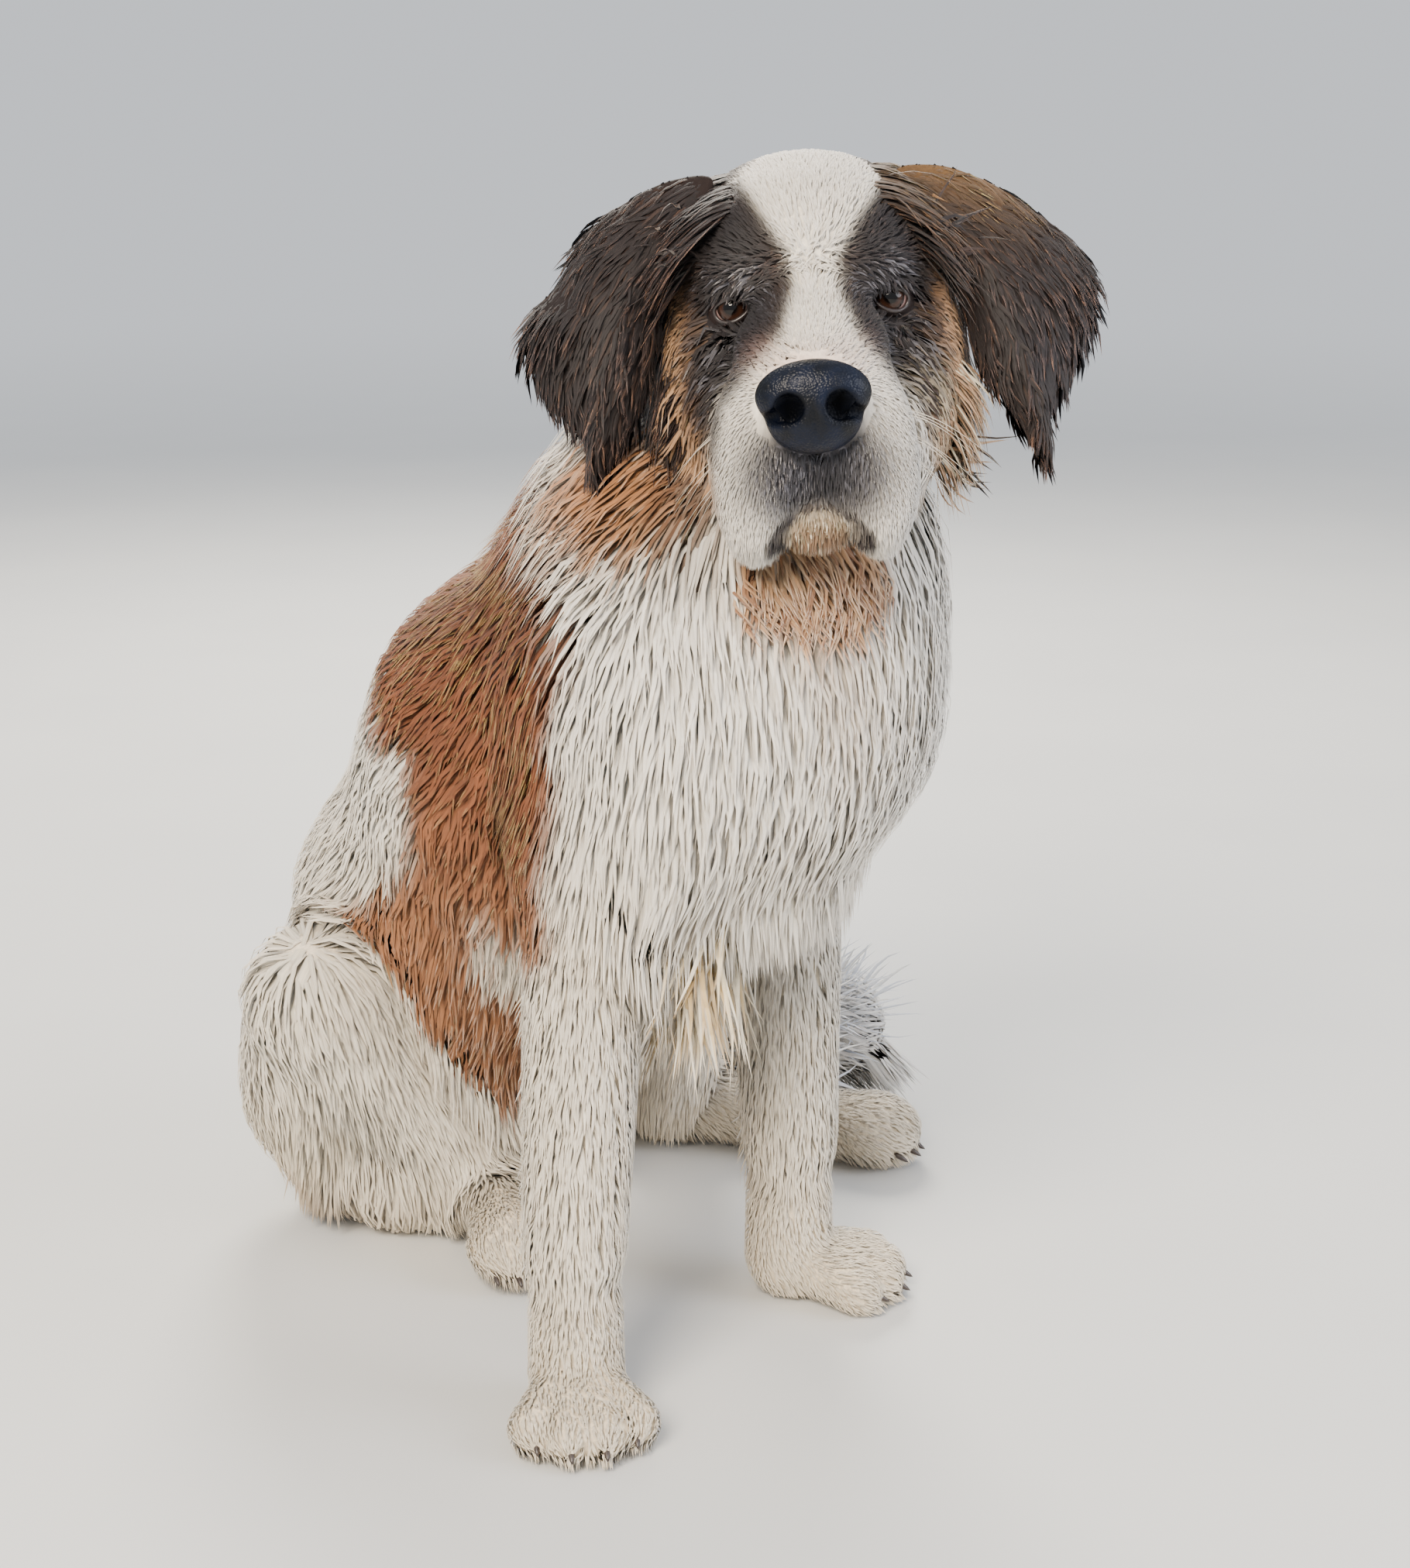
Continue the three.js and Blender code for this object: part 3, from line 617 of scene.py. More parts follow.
def coat_colours(points, spread):
    """The coat's colour at points in the dog's frame. spread is a random number for each."""
    colours = np.tile(COLOURS["white"], (len(points), 1))
    layer = brush(colours, spread)
    x, y, z = points.T
    _, _, names = traits_at(points)
    body = names == "trunk"
    local = to_head(points)
    low_noise = np.sin(x * 0.043 + 1.3 * np.sin(y * 0.031)) * np.sin(z * 0.037 + 0.7 * np.sin(x * 0.05))
    ragged = low_noise * 7 + (spread[:, 1] - 0.5) * 9

    layer("cream", 0.45 * soft_step(z - 420 + ragged, 60))
    layer("cool_white", 0.6 * np.char.startswith(names, "tail"))
    blanket = outside(BLANKET, y, z) + ragged
    side = np.abs(x - 8)
    blanket = np.where(y < 20, np.maximum(blanket, 46 - side), blanket)
    on_trunk = body | (np.char.startswith(names, "foreleg") & (z > 300))
    layer("rust", soft_step(blanket, 4) * on_trunk)
    layer("light_rust", 0.7 * soft_step(blanket, 4) * on_trunk * soft_step(z - 370 + ragged * 3, 26))
    layer("deep_rust", soft_step(blanket + 6, 5) * on_trunk * np.clip(0.3 + 0.5 * low_noise, 0, 0.8)
          * soft_step(430 - z, 40))
    layer("deep_rust", 0.45 * soft_step(blanket + 4, 4) * on_trunk, tick=0.72)
    frayed = low_noise * 7 + (spread[:, 1] - 0.5) * 16
    free = ~np.isin(names, ["head", "jaw"])
    layer("tan", 0.9 * soft_step(ball(points, (-94, -2, 646), (54, 92, 50)) + frayed, 5) * free)
    layer("orange", 0.85 * soft_step(ball(points, (-100, 4, 652), (46, 80, 44)) + frayed, 5) * free)
    layer("tan", 0.75 * soft_step(ball(points, (-12, -112, 588), (54, 50, 38)) + frayed, 5) * body)
    layer("tan", 0.35 * soft_step(ball(points, (-4, -130, 524), (30, 40, 40)) + frayed, 9) * body)
    under_ear = np.hypot((local[:, 0] + 88) / 20, (local[:, 2] + 112) / 44) - 1
    layer("dark_brown", 0.8 * soft_step(under_ear * 20 + frayed, 5) * soft_step(local[:, 1] - 50, 8) * body)
    behind_ears = soft_step(52 - np.abs(local[:, 0]), 5) * soft_step(-20 - local[:, 2], 8)
    behind_ears *= soft_step(local[:, 1] - 96, 8)
    layer("dark_brown", behind_ears * body)
    layer("cream", 0.5 * soft_step(z - 130 + ragged, 25) * np.char.startswith(names, "thigh"))
    layer("stain", 0.6 * soft_step(ball(points, (-110, 380, 30), (60, 70, 34)) + ragged, 7))
    layer("cream", 0.4 * soft_step(z - 60, 30))

    on_head = np.isin(names, ["head", "jaw"])
    if on_head.any():
        at_head = np.tile(COLOURS["white"], (int(on_head.sum()), 1))
        head_colours(to_head(points[on_head]), brush(at_head, spread[on_head]))
        colours[on_head] = at_head
    return colours


# Materials


def add(tree, kind, links=None, **settings):
    """Adds a node with its settings and its incoming links."""
    node = tree.nodes.new("ShaderNode" + kind)
    for name, value in settings.items():
        if name.startswith("in_"):
            node.inputs[name[3:].replace("_", " ")].default_value = value
        else:
            setattr(node, name, value)
    for socket_name, source in (links or {}).items():
        tree.links.new(source, node.inputs[socket_name])
    return node


def new_material(name):
    """A material with its tree and shader."""
    material = bpy.data.materials.new(name)
    material.use_nodes = True
    tree = material.node_tree
    tree.nodes.clear()
    output = add(tree, "OutputMaterial")
    shader = add(tree, "BsdfPrincipled")
    tree.links.new(shader.outputs["BSDF"], output.inputs["Surface"])
    return material, tree, shader


def on_object(tree, kind, **settings):
    """A texture laid by the object's own coordinates."""
    coordinates = add(tree, "TexCoord")
    return add(tree, kind, {"Vector": coordinates.outputs["Object"]}, **settings)


def ramp_between(tree, factor, *stops):
    """The colour that a ramp through stops of position and colour gives a factor."""
    ramp = add(tree, "ValToRGB", {"Fac": factor})
    elements = ramp.color_ramp.elements
    for position, _ in stops[1:-1]:
        elements.new(position)
    for element, (position, colour) in zip(elements, stops):
        element.position = position
        element.color = (*colour, 1)
    return ramp.outputs["Color"]


def times(tree, colour, factor):
    """A colour multiplied by a factor or by another colour."""
    return add(tree, "VectorMath", {0: colour, 1: factor}, operation="MULTIPLY").outputs["Vector"]


def surface(tree, shader, colour, height=None, strength=0.0, distance=0.0, invert=False, **sockets):
    """Links a shader's colour and bump and sets the numbers that are the same all over."""
    tree.links.new(colour, shader.inputs["Base Color"])
    if height is not None:
        bump = add(tree, "Bump", {"Height": height}, invert=invert, in_Strength=strength,
                   in_Distance=distance)
        tree.links.new(bump.outputs["Normal"], shader.inputs["Normal"])
    for name, value in sockets.items():
        shader.inputs[name.replace("_", " ")].default_value = value


def hair_colour(tree, noise, least, most, low, high):
    """The piece's stored colour, which on tufts holds painted shade at their roots, made darker and lighter
    by a noise.
    """
    colour = add(tree, "Attribute", attribute_name="Coat").outputs["Color"]
    shade = add(tree, "MapRange", {"Value": noise.outputs["Fac"]},
                in_From_Min=low, in_From_Max=high, in_To_Min=least, in_To_Max=most)
    return times(tree, colour, shade.outputs["Result"])


def coat_material():
    """Long and short dog hair: the tuft's own colour with painted shade towards its root, broken by fine
    strands.
    """
    material, tree, shader = new_material("dog_hair")
    strands = add(tree, "UVMap", uv_map="Strand")
    stretch = add(tree, "Mapping", {"Vector": strands.outputs["UV"]}, in_Scale=(7, 0.6, 1))
    noise = add(tree, "TexNoise", {"Vector": stretch.outputs["Vector"]},
                in_Scale=1.0, in_Detail=3.0, in_Roughness=0.65)
    colour = hair_colour(tree, noise, 0.82, 1.12, 0.32, 0.68)
    surface(tree, shader, colour, noise.outputs["Fac"], 0.35, 0.0006, Roughness=0.62,
            Specular_IOR_Level=0.3, Subsurface_Weight=0.35, Subsurface_Radius=(1.0, 0.8, 0.6),
            Subsurface_Scale=0.004, Sheen_Weight=0.1, Sheen_Roughness=0.4)
    return material


def skin_material():
    """The short under coat on the skin, in the coat's own colours."""
    material, tree, shader = new_material("under_coat")
    stretch = on_object(tree, "Mapping", in_Scale=(1, 1, 0.35))
    noise = add(tree, "TexNoise", {"Vector": stretch.outputs["Vector"]}, in_Scale=420.0, in_Detail=3.0)
    colour = hair_colour(tree, noise, 0.76, 1.04, 0.3, 0.7)
    surface(tree, shader, colour, noise.outputs["Fac"], 0.6, 0.001, Roughness=0.8, Specular_IOR_Level=0.2)
    return material


def nose_material():
    """Moist pebbled nose leather, with painted shade dark in the nostrils, which are also dull."""
    material, tree, shader = new_material("nose_leather")
    pebbles = on_object(tree, "TexVoronoi", in_Scale=620.0)
    tone = on_object(tree, "TexNoise", in_Scale=60.0)
    leather = ramp_between(tree, tone.outputs["Fac"], (0.35, linear("#05070c")), (0.7, linear("#0a1224")))
    # The stored colour is painted shade: dark deep in the nostrils, plain elsewhere
    hollow = add(tree, "Attribute", attribute_name="Coat")
    colour = times(tree, leather, hollow.outputs["Color"])
    surface(tree, shader, colour, pebbles.outputs["Distance"], 0.5, 0.0008, invert=True, Roughness=0.38)
    gloss = add(tree, "Math", {0: hollow.outputs["Fac"]}, operation="MULTIPLY")
    gloss.inputs[1].default_value = 0.2
    tree.links.new(gloss.outputs["Value"], shader.inputs["Specular IOR Level"])
    return material


def eye_material(name, centre, forward):
    """A wet brown eye: pupil, iris with fine spokes, dark rim and white, by angle from its axis."""
    material, tree, shader = new_material(name)
    local = on_object(tree, "VectorMath", operation="SUBTRACT")
    local.inputs[1].default_value = centre
    unit_way = add(tree, "VectorMath", {0: local.outputs["Vector"]}, operation="NORMALIZE")
    ahead = add(tree, "VectorMath", {0: unit_way.outputs["Vector"]}, operation="DOT_PRODUCT")
    ahead.inputs[1].default_value = forward
    angle = add(tree, "Math", {0: ahead.outputs["Value"]}, operation="ARCCOSINE")
    spokes = add(tree, "TexNoise", {"Vector": unit_way.outputs["Vector"]}, in_Scale=18.0, in_Detail=4.0)
    wobble = add(tree, "MapRange", {"Value": spokes.outputs["Fac"]}, in_To_Min=-0.04, in_To_Max=0.04)
    reach = add(tree, "Math", {0: angle.outputs["Value"], 1: wobble.outputs["Result"]},
                operation="ADD")
    stops = [(0.0, "#040303"), (0.33, "#060404"), (0.37, "#1d120d"), (0.54, "#341f15"),
             (0.74, "#1d110c"), (0.81, "#0e0909"), (0.88, "#8d7570"), (1.0, "#6b4c48")]
    stops = [(position, linear(hex_colour)) for position, hex_colour in stops]
    colour = ramp_between(tree, reach.outputs["Value"], *stops)
    surface(tree, shader, colour, Roughness=0.04, Specular_IOR_Level=0.3)
    return material


def plain_material(name, hex_colour, roughness, scale, depth, coat=0.0):
    """A hard or wet surface with slight mottling: claws, lids, whiskers."""
    material, tree, shader = new_material(name)
    noise = on_object(tree, "TexNoise", in_Scale=scale, in_Detail=3.0).outputs["Fac"]
    tone = linear(hex_colour)
    colour = ramp_between(tree, noise, (0.3, tone * 0.7), (0.7, np.minimum(tone * 1.25, 1)))
    surface(tree, shader, colour, noise, 0.4, depth, Roughness=roughness, Coat_Weight=coat)
    return material


HAIR = coat_material()
SKIN = skin_material()


# Skin

BALL_SIZE = 1.02
VOXEL = 0.0066
# Boxes of the head's frame where the skin is finer: the whole head, and the face
FINER = (
    ((-110, -FAR, -165), (110, 90, FAR)),
    ((-78, -FAR, -158), (78, 16, 40)),
)


def make_skin():
    """One closed skin over all the masses: rough balls joined, remeshed and settled on the field."""
    balls = []
    for region in REGIONS:
        for mass in region.masses:
            for at, radii, turn in mass.rough:
                if region.on_head:
                    at, turn = from_head([at])[0], HEAD @ turn
                balls.append(sphere(at, np.array(radii) * BALL_SIZE, turn))
    skin = joined("skin", balls)
    apply_modifier(skin, "REMESH", mode="VOXEL", voxel_size=VOXEL)
    move_to(skin, settle(skin_level, points_of(skin), rounds=8))
    smooth_points(skin, 4)
    move_to(skin, settle(skin_level, points_of(skin), rounds=3))
    for corners in FINER:
        refine(skin, within(to_head(points_of(skin)), *corners))
    x, y, z = to_head(points_of(skin)).T
    refine(skin, (y < 12) & (np.abs(np.abs(x) - 50) < 25) & (np.abs(z) < 24))
    points = points_of(skin)
    points[:, 2] = np.maximum(points[:, 2], 2.0)
    move_to(skin, points)
    shade_smooth(skin)
    paint(skin, coat_colours(points, dice.random((len(points), 2))))
    return skin


def edit_mode(obj, action):
    """Opens a mesh for editing with all of its faces selected, or none."""
    only(obj)
    bpy.ops.object.mode_set(mode="EDIT")
    bpy.ops.mesh.select_mode(type="FACE")
    bpy.ops.mesh.select_all(action=action)


def smooth_points(obj, rounds):
    """Evens out the points of a mesh."""
    edit_mode(obj, "SELECT")
    for _ in range(rounds):
        bpy.ops.mesh.vertices_smooth(factor=0.5)
    bpy.ops.object.mode_set(mode="OBJECT")


def refine(obj, inside):
    """Halves the faces whose points are all inside, and settles the skin again."""
    edit_mode(obj, "DESELECT")
    bpy.ops.object.mode_set(mode="OBJECT")
    for polygon in obj.data.polygons:
        polygon.select = bool(inside[list(polygon.vertices)].all())
    bpy.ops.object.mode_set(mode="EDIT")
    bpy.ops.mesh.subdivide(number_cuts=1)
    bpy.ops.object.mode_set(mode="OBJECT")
    move_to(obj, settle(skin_level, points_of(obj), rounds=3))


# Coat


def scatter(points, triangles, spacing, share=1.0):
    """Roots on a surface, evenly spread at the spacing asked for at each corner."""
    area = np.linalg.norm(face_normals(points, triangles), axis=1) / 2
    wanted = area * share / spacing[triangles].mean(axis=1) ** 2
    count = int(wanted.sum())
    edges = np.cumsum(wanted)
    chosen = np.searchsorted(edges, (np.arange(count) + dice.random(count)) / count * edges[-1])
    chosen = np.clip(chosen, 0, len(triangles) - 1)
    u, v = dice.random(count), dice.random(count)
    flip = u + v > 1
    u, v = np.where(flip, 1 - u, u), np.where(flip, 1 - v, v)
    corner = np.stack([1 - u - v, u, v], axis=1)
    roots = np.einsum("ij,ijk->ik", corner, points[triangles[chosen]])
    return roots, chosen, corner


def comb(roots, lies, traits, level, steps, reach=(0.72, 1.0), sag=0.35):
    """Paths of tufts: each rises from its root to its share of the coat's depth and lies along the body.

    On the undersides the tufts leave the body and hang.
    """
    depth, length, stand = traits[:, [DEPTH, LENGTH, STAND]].T
    count = len(roots)
    reach = dice.uniform(*reach, count)
    _, out = slope(level, roots)
    under = np.clip(-out[:, 2] * 1.8, 0, 1)
    stretch = length * dice.uniform(0.75, 1.15, count) * (1 + 0.35 * under)
    path = np.zeros((steps + 1, count, 3))
    lies = lies + dice.normal(0, 0.1, (count, 3))
    path[0] = roots - out * 1.2
    here = roots.copy()
    ups = [out]
    for k in range(1, steps + 1):
        t = k / steps
        way = lies + np.array([0, 0, -1.0]) * (sag * t + 0.9 * under * t)[:, None]
        hold = 1 - under * t
        way = unit(way - out * (hold * dot(way, out))[:, None])
        here = here + way * (stretch / steps)[:, None]
        for _ in range(2):
            now, out = slope(level, here)
            rise = depth * stand * reach * (1 - (1 - t) ** 2) * (1 - 0.18 * t)
            shift = rise + 0.4 - now
            here = here + out * np.where(shift < 0, shift * hold, shift)[:, None]
        here[:, 2] = np.maximum(here[:, 2], FLOOR_GAP)
        path[k] = here
        ups.append(out)
    return path, ups


def gather_locks(path, gather, wave, per_lock=7):
    """Draws the tips of neighbouring tufts together and waves them as one lock."""
    count = path.shape[1]
    leaders = np.sort(dice.choice(count, max(1, count // per_lock), replace=False))
    tree = KDTree(len(leaders))
    for i, leader in enumerate(leaders):
        tree.insert(path[0, leader], i)
    tree.balance()
    nearest = leaders[np.array([tree.find(p)[1] for p in path[0]])]
    phase = dice.uniform(0, 2 * np.pi, count)[nearest]
    steps = path.shape[0] - 1
    run = path[-1] - path[0]
    side = unit(np.cross(run, path[1] - path[0]))
    for k in range(1, steps + 1):
        t = k / steps
        pull = (gather * t**1.3)[:, None]
        path[k] += (path[k][nearest] - path[k]) * pull
        path[k] += side * (wave * t * np.sin(phase + t * 5.5))[:, None]
    return path


SECTION = np.array([(-1.0, 0.0), (1.0, 0.0), (0.0, 0.28)])
SOFTNESS = np.array([(-0.3, 0.6), (0.3, 0.6), (0.0, 0.7)])
# Loose hair passes light on, so its shading leans towards the sky
SKY_LEAN = 0.35
# A tuft that stands off the skin turns its flat side a little up and forward
LIT_SIDE = np.array([-0.1, -0.2, 0.3])

# Share of a tuft's colour at its root, where painted shade darkens it, the size of its patch on the unwrap,
# and its half width along it
ROOT_PAINTED_SHADE = 0.87
PATCH = 0.003
TAPER = ([0, 0.3, 0.75, 1], [0.8, 1.0, 0.6, 0])


def grow(name, path, ups, widths, colours, patch_uv, tint):
    """Solid tufts along paths: three-sided, tapered to a tip, with root and strand maps."""
    steps = path.shape[0] - 1
    count = path.shape[1]
    rings, normals = [], []
    shape = np.interp(np.linspace(0, 1, steps + 1), *TAPER)
    for k in range(steps):
        along = path[k + 1] - path[max(k - 1, 0)]
        steep = dot(unit(along), ups[k])
        across = unit(np.cross(along, ups[k] + LIT_SIDE * (steep**2)[:, None]))
        top = unit(np.cross(across, along))
        for a, b in SECTION:
            rings.append(path[k] + (across * a + top * b) * (widths * shape[k])[:, None])
        for a, b in SOFTNESS:
            normals.append(ups[k] * 0.4 + across * a + top * b)
    rings.append(path[steps])
    normals.append(ups[steps] * 0.4 + top * 0.6)
    per = 3 * steps + 1
    points = np.stack(rings, axis=1).reshape(-1, 3)
    normals = unit(np.stack(normals, axis=1).reshape(-1, 3) + (0, 0, SKY_LEAN))
    tip = 3 * steps
    faces = [(0, 2, 1)] + ring_faces(steps, 3)
    faces += [(tip - 3 + j, tip - 3 + (j + 1) % 3, tip) for j in range(3)]
    faces = np.array(faces)[:, ::-1]
    triangles = (np.arange(count)[:, None, None] * per + faces[None]).reshape(-1, 3)
    obj = mesh_from(name, points, triangles)
    obj.data.normals_split_custom_set_from_vertices(normals)

    t = np.append(np.repeat(np.arange(steps) / steps, 3), 1.0)
    # Painted shade: each tuft darkens towards its root, deep in the coat
    painted_root_shade = ROOT_PAINTED_SHADE + (1 - ROOT_PAINTED_SHADE) * t**0.7
    shades = colours[:, None, :] * painted_root_shade[None, :, None] * tint[:, None, None]
    paint(obj, shades.reshape(-1, 3))
    across_strand = np.append(np.tile([0.0, 1.0, 0.5], steps), 0.5)
    seedling = dice.uniform(0, 40, (count, 1))
    strand = np.stack([across_strand[None] + seedling, t[None] + seedling * 0.7], axis=2).reshape(-1, 2)
    corner = np.stack([across_strand, t], axis=1) * PATCH - PATCH / 2
    bake = (patch_uv[:, None, :] + corner[None]).reshape(-1, 2)
    for layer_name, values in (("OFBake", bake), ("Strand", strand)):
        layer = obj.data.uv_layers.new(name=layer_name)
        layer.uv.foreach_set("vector", values[triangles.ravel()].astype(np.float32).ravel())
    return obj


MOST_TRIANGLES = 190000


def grow_batches(name, path, ups, widths, colours, patch_uv, tint):
    """Grows tufts in as many pieces as the limit on triangles asks for."""
    steps = path.shape[0] - 1
    per_tuft = 6 * (steps - 1) + 4
    size = MOST_TRIANGLES // per_tuft
    count = path.shape[1]
    pieces = []
    batches = math.ceil(count / size)
    for number, chosen in enumerate(np.array_split(np.arange(count), batches)):
        label = name if batches == 1 else f"{name}_{number + 1}"
        piece = grow(label, path[:, chosen], [up[chosen] for up in ups], widths[chosen], colours[chosen],
                     patch_uv[chosen], tint[chosen])
        pieces.append(piece)
    return pieces


def eye_clearance(points):
    """Distance of points from the nearer eye's opening, in the head's frame."""
    local = to_head(points)
    gaps = [np.linalg.norm((local - np.array([s * EYE_SPACING / 2, -10, -1.0])) / (1, 1.6, 0.8), axis=1)
            for s in (-1, 1)]
    return np.minimum(*gaps)


def nose_clearance(points):
    """Distance of points from the middle of the nose pad, stretched to its shape."""
    local = to_head(points)
    return np.linalg.norm((local - np.array([NOSE_ASIDE, -128, -50.0])) / (1.22, 1.5, 0.98), axis=1)


class Hide:
    """The skin's points, triangles and unwrap, for planting hair on it."""

    def __init__(self, skin):
        self.points = points_of(skin)
        self.triangles = triangles_of(skin)
        self.places = unwrapped(skin)

    def plant(self, spacing, share=1.0):
        """Roots, and where each lies on the unwrap."""
        spacing = np.broadcast_to(spacing, len(self.points))
        roots, chosen, corner = scatter(self.points, self.triangles, spacing, share)
        return roots, np.einsum("ij,ijk->ik", corner, self.places[chosen])


# Share of the roots that also carry a wide tuft of the under coat
UNDER_COAT = {"coat_body": 0.33, "coat_hindlegs": 0.33, "coat_tail": 0.6}
# The throat's patch, where part of the coat makes room for the tuft
THROAT = ((-10, -98, 602), (48, 40, 25))
THROAT_SHARE = 0.4
EYE_FREE = 15.5
NOSE_FREE = 31


def make_coat(hide):
    """The coat over the whole skin, by region."""
    values, _, _ = traits_at(hide.points)
    thin = 1.0
    roots, uv = hide.plant(values[:, SPACING], thin)
    kept = (eye_clearance(roots) > EYE_FREE) & (nose_clearance(roots) > NOSE_FREE) & (roots[:, 2] > 4)
    kept &= (ball(roots, *THROAT) > 0) | (dice.random(len(roots)) < THROAT_SHARE)
    roots, uv = roots[kept], uv[kept]
    traits, lies, names = traits_at(roots)
    if thin < 1:
        traits[:, WIDTH] *= 1.4
    groups = {
        "coat_head": (("head", "jaw"), 2),
        "coat_body": (("trunk",), 3),
        "coat_forelegs": (("foreleg", "forepaw"), 2),
        "coat_hindlegs": (("thigh", "shank"), 3),
        "coat_hind_feet": (("hind_foot",), 2),
        "coat_tail": (("tail",), 4),
    }
    made = []
    for name, (parts, steps) in groups.items():
        at = np.flatnonzero(np.any([np.char.startswith(names, part) for part in parts], axis=0))
        path, ups = comb(roots[at], lies[at], traits[at], skin_level, steps)
        path = gather_locks(path, traits[at, GATHER], traits[at, WAVE])
        tint = dice.uniform(0.9, 1.06, len(at))
        widths = traits[at, WIDTH] * dice.uniform(0.6, 1.15, len(at))
        seen = path[0] * 0.35 + path[-1] * 0.65
        colours = coat_colours(seen, dice.random((len(at), 2)))
        made += grow_batches(name, path, ups, widths, colours, uv[at], tint)
        if name in UNDER_COAT:
            at = at[dice.random(len(at)) < UNDER_COAT[name]]
            places = roots[at] + dice.normal(0, 2, (len(at), 3))
            path, ups = comb(places, lies[at], traits[at], skin_level, 2, reach=(0.4, 0.68))
            colours = coat_colours(path[1], dice.random((len(at), 2)))
            tint = dice.uniform(0.9, 1.0, len(at))
            made += grow_batches(f"under_{name}", path, ups, traits[at, WIDTH] * 2.7, colours, uv[at], tint)
    return made


def unwrapped(skin):
    """Each triangle's corners on an unwrap of the skin's own shape."""
    skin.data.uv_layers.active = skin.data.uv_layers.new(name="OFBake")
    edit_mode(skin, "SELECT")
    bpy.ops.uv.smart_project(angle_limit=math.radians(70), island_margin=0.001)
    bpy.ops.object.mode_set(mode="OBJECT")
    flat = np.zeros(len(skin.data.loops) * 2, np.float32)
    skin.data.uv_layers["OFBake"].uv.foreach_get("vector", flat)
    skin.data.calc_loop_triangles()
    loops = np.zeros(len(skin.data.loop_triangles) * 3, int)
    skin.data.loop_triangles.foreach_get("loops", loops)
    return flat.reshape(-1, 2)[loops.reshape(-1, 3)]


# Ears

EAR_OUTLINE = {
    "right": [
        (74, 78), (48, 80), (20, 70), (-12, 50), (-38, 14), (-68, -14), (-54, -56), (-28, -86), (-24, -120),
        (-2, -100), (20, -66), (34, -26), (40, 8), (60, 44),
    ],
    "left": [
        (-66, 74), (-44, 78), (-16, 70), (24, 46), (62, 8), (70, -26), (52, -66), (34, -92), (30, -128),
        (8, -96), (-18, -58), (-34, -6), (-52, 40),
    ],
}
EAR_MIDDLE = {"right": (-128, 36, 4), "left": (124, 44, 4)}
EAR_THICK = 5.0
EAR_BOW = 26.0


def closed_curve(outline, count):
    """Points along a smooth closed curve through an outline."""
    outline = np.array(outline, float)
    size = len(outline)
    result = []
    for u in np.arange(count) / count * size:
        i, t = int(u) % size, u - int(u)
        a, b, c, d = (outline[(i + k) % size] for k in (-1, 0, 1, 2))
        result.append(0.5 * (2 * b + (c - a) * t + (2 * a - 5 * b + 4 * c - d) * t**2
                             + (3 * b - a - 3 * c + d) * t**3))
    return np.array(result)


def ear_shape(side, across, rows):
    """Points of an ear flap: rings from its outer face, round its rim, to its inner face."""
    sign = 1 if side == "left" else -1
    rim = closed_curve(EAR_OUTLINE[side], across)
    rim = rim * np.where(rim[:, 1:] > 0, 0.96, 0.86)
    rings = []
    for polar in np.linspace(0, math.pi, rows):
        out = math.sin(polar)
        x, z = rim[:, 0] * out, rim[:, 1] * out
        bow = EAR_BOW * (1 - out * out)
        fold = 2.5 * np.sin(np.arange(across) / across * 2 * math.pi * 5) * out**3
        y = math.cos(polar) * EAR_THICK - bow + 0.22 * sign * x + 0.22 * z + fold
        rings.append(np.stack([x, y, z], axis=1) + EAR_MIDDLE[side])
    return np.array(rings)


def make_ear(side):
    """An ear's flap with its short hair."""
    across, rows = 72, 25
    rings = ear_shape(side, across, rows)
    local = np.vstack([rings[0, :1], rings[1:-1].reshape(-1, 3), rings[-1, :1]])
    faces = []
    for j in range(across):
        k = (j + 1) % across
        faces.append((0, 1 + j, 1 + k))
        for row in range(rows - 3):
            a, b = 1 + row * across + j, 1 + row * across + k
            faces += [(a, a + across, b), (b, a + across, b + across)]
        base = 1 + (rows - 3) * across
        faces.append((base + j, len(local) - 1, base + k))
    triangles = np.array(faces)
    points = from_head(local)
    if dot(points[triangles[:, 0]], face_normals(points, triangles)).sum() < 0:
        triangles = triangles[:, ::-1]
    skin = mesh_from(f"ear_skin_{side}", points, triangles)
    paint(skin, ear_colours(local, side, dice.random(len(points))))
    finish(skin, "dark_coat", SKIN, f"ear_{side}")

    spacing = np.full(len(points), 3.7)
    roots, chosen, _ = scatter(points, triangles, spacing, 1.0)
    out = unit(face_normals(points, triangles))[chosen]
    local = to_head(roots)
    middle = np.array(EAR_MIDDLE[side])
    from_base = np.clip((middle[2] + 60 - local[:, 2]) / 200, 0, 1)
    sideways = np.sign(middle[0]) * (0.75 - 0.9 * from_base)
    ways = np.stack([sideways, np.full(len(roots), -0.1), -0.4 - from_base], axis=1) @ HEAD.T
    inner_face = out @ HEAD @ np.array([0, 1.0, 0]) > 0
    uv = patches(local[:, [0, 2]], inner_face)
    colours = ear_colours(local, side, dice.random(len(roots)))
    hang(f"coat_ear_{side}", roots, out, ways, colours, uv, "dark_coat", (18, 34), 1.7, 6, 5, 2.2)


def patches(flat, second_half):
    """Places on a map for roots laid out flat, the two faces side by side."""
    flat = flat - flat.min(axis=0)
    uv = 0.05 + 0.9 * flat / flat.max(axis=0)
    uv[:, 0] = uv[:, 0] / 2 + 0.5 * second_half
    return uv


# Tufts that leave the skin altogether are shaded on the side that they turn up and forward
FREE_FACING = np.array([-0.2, -0.5, 0.8])


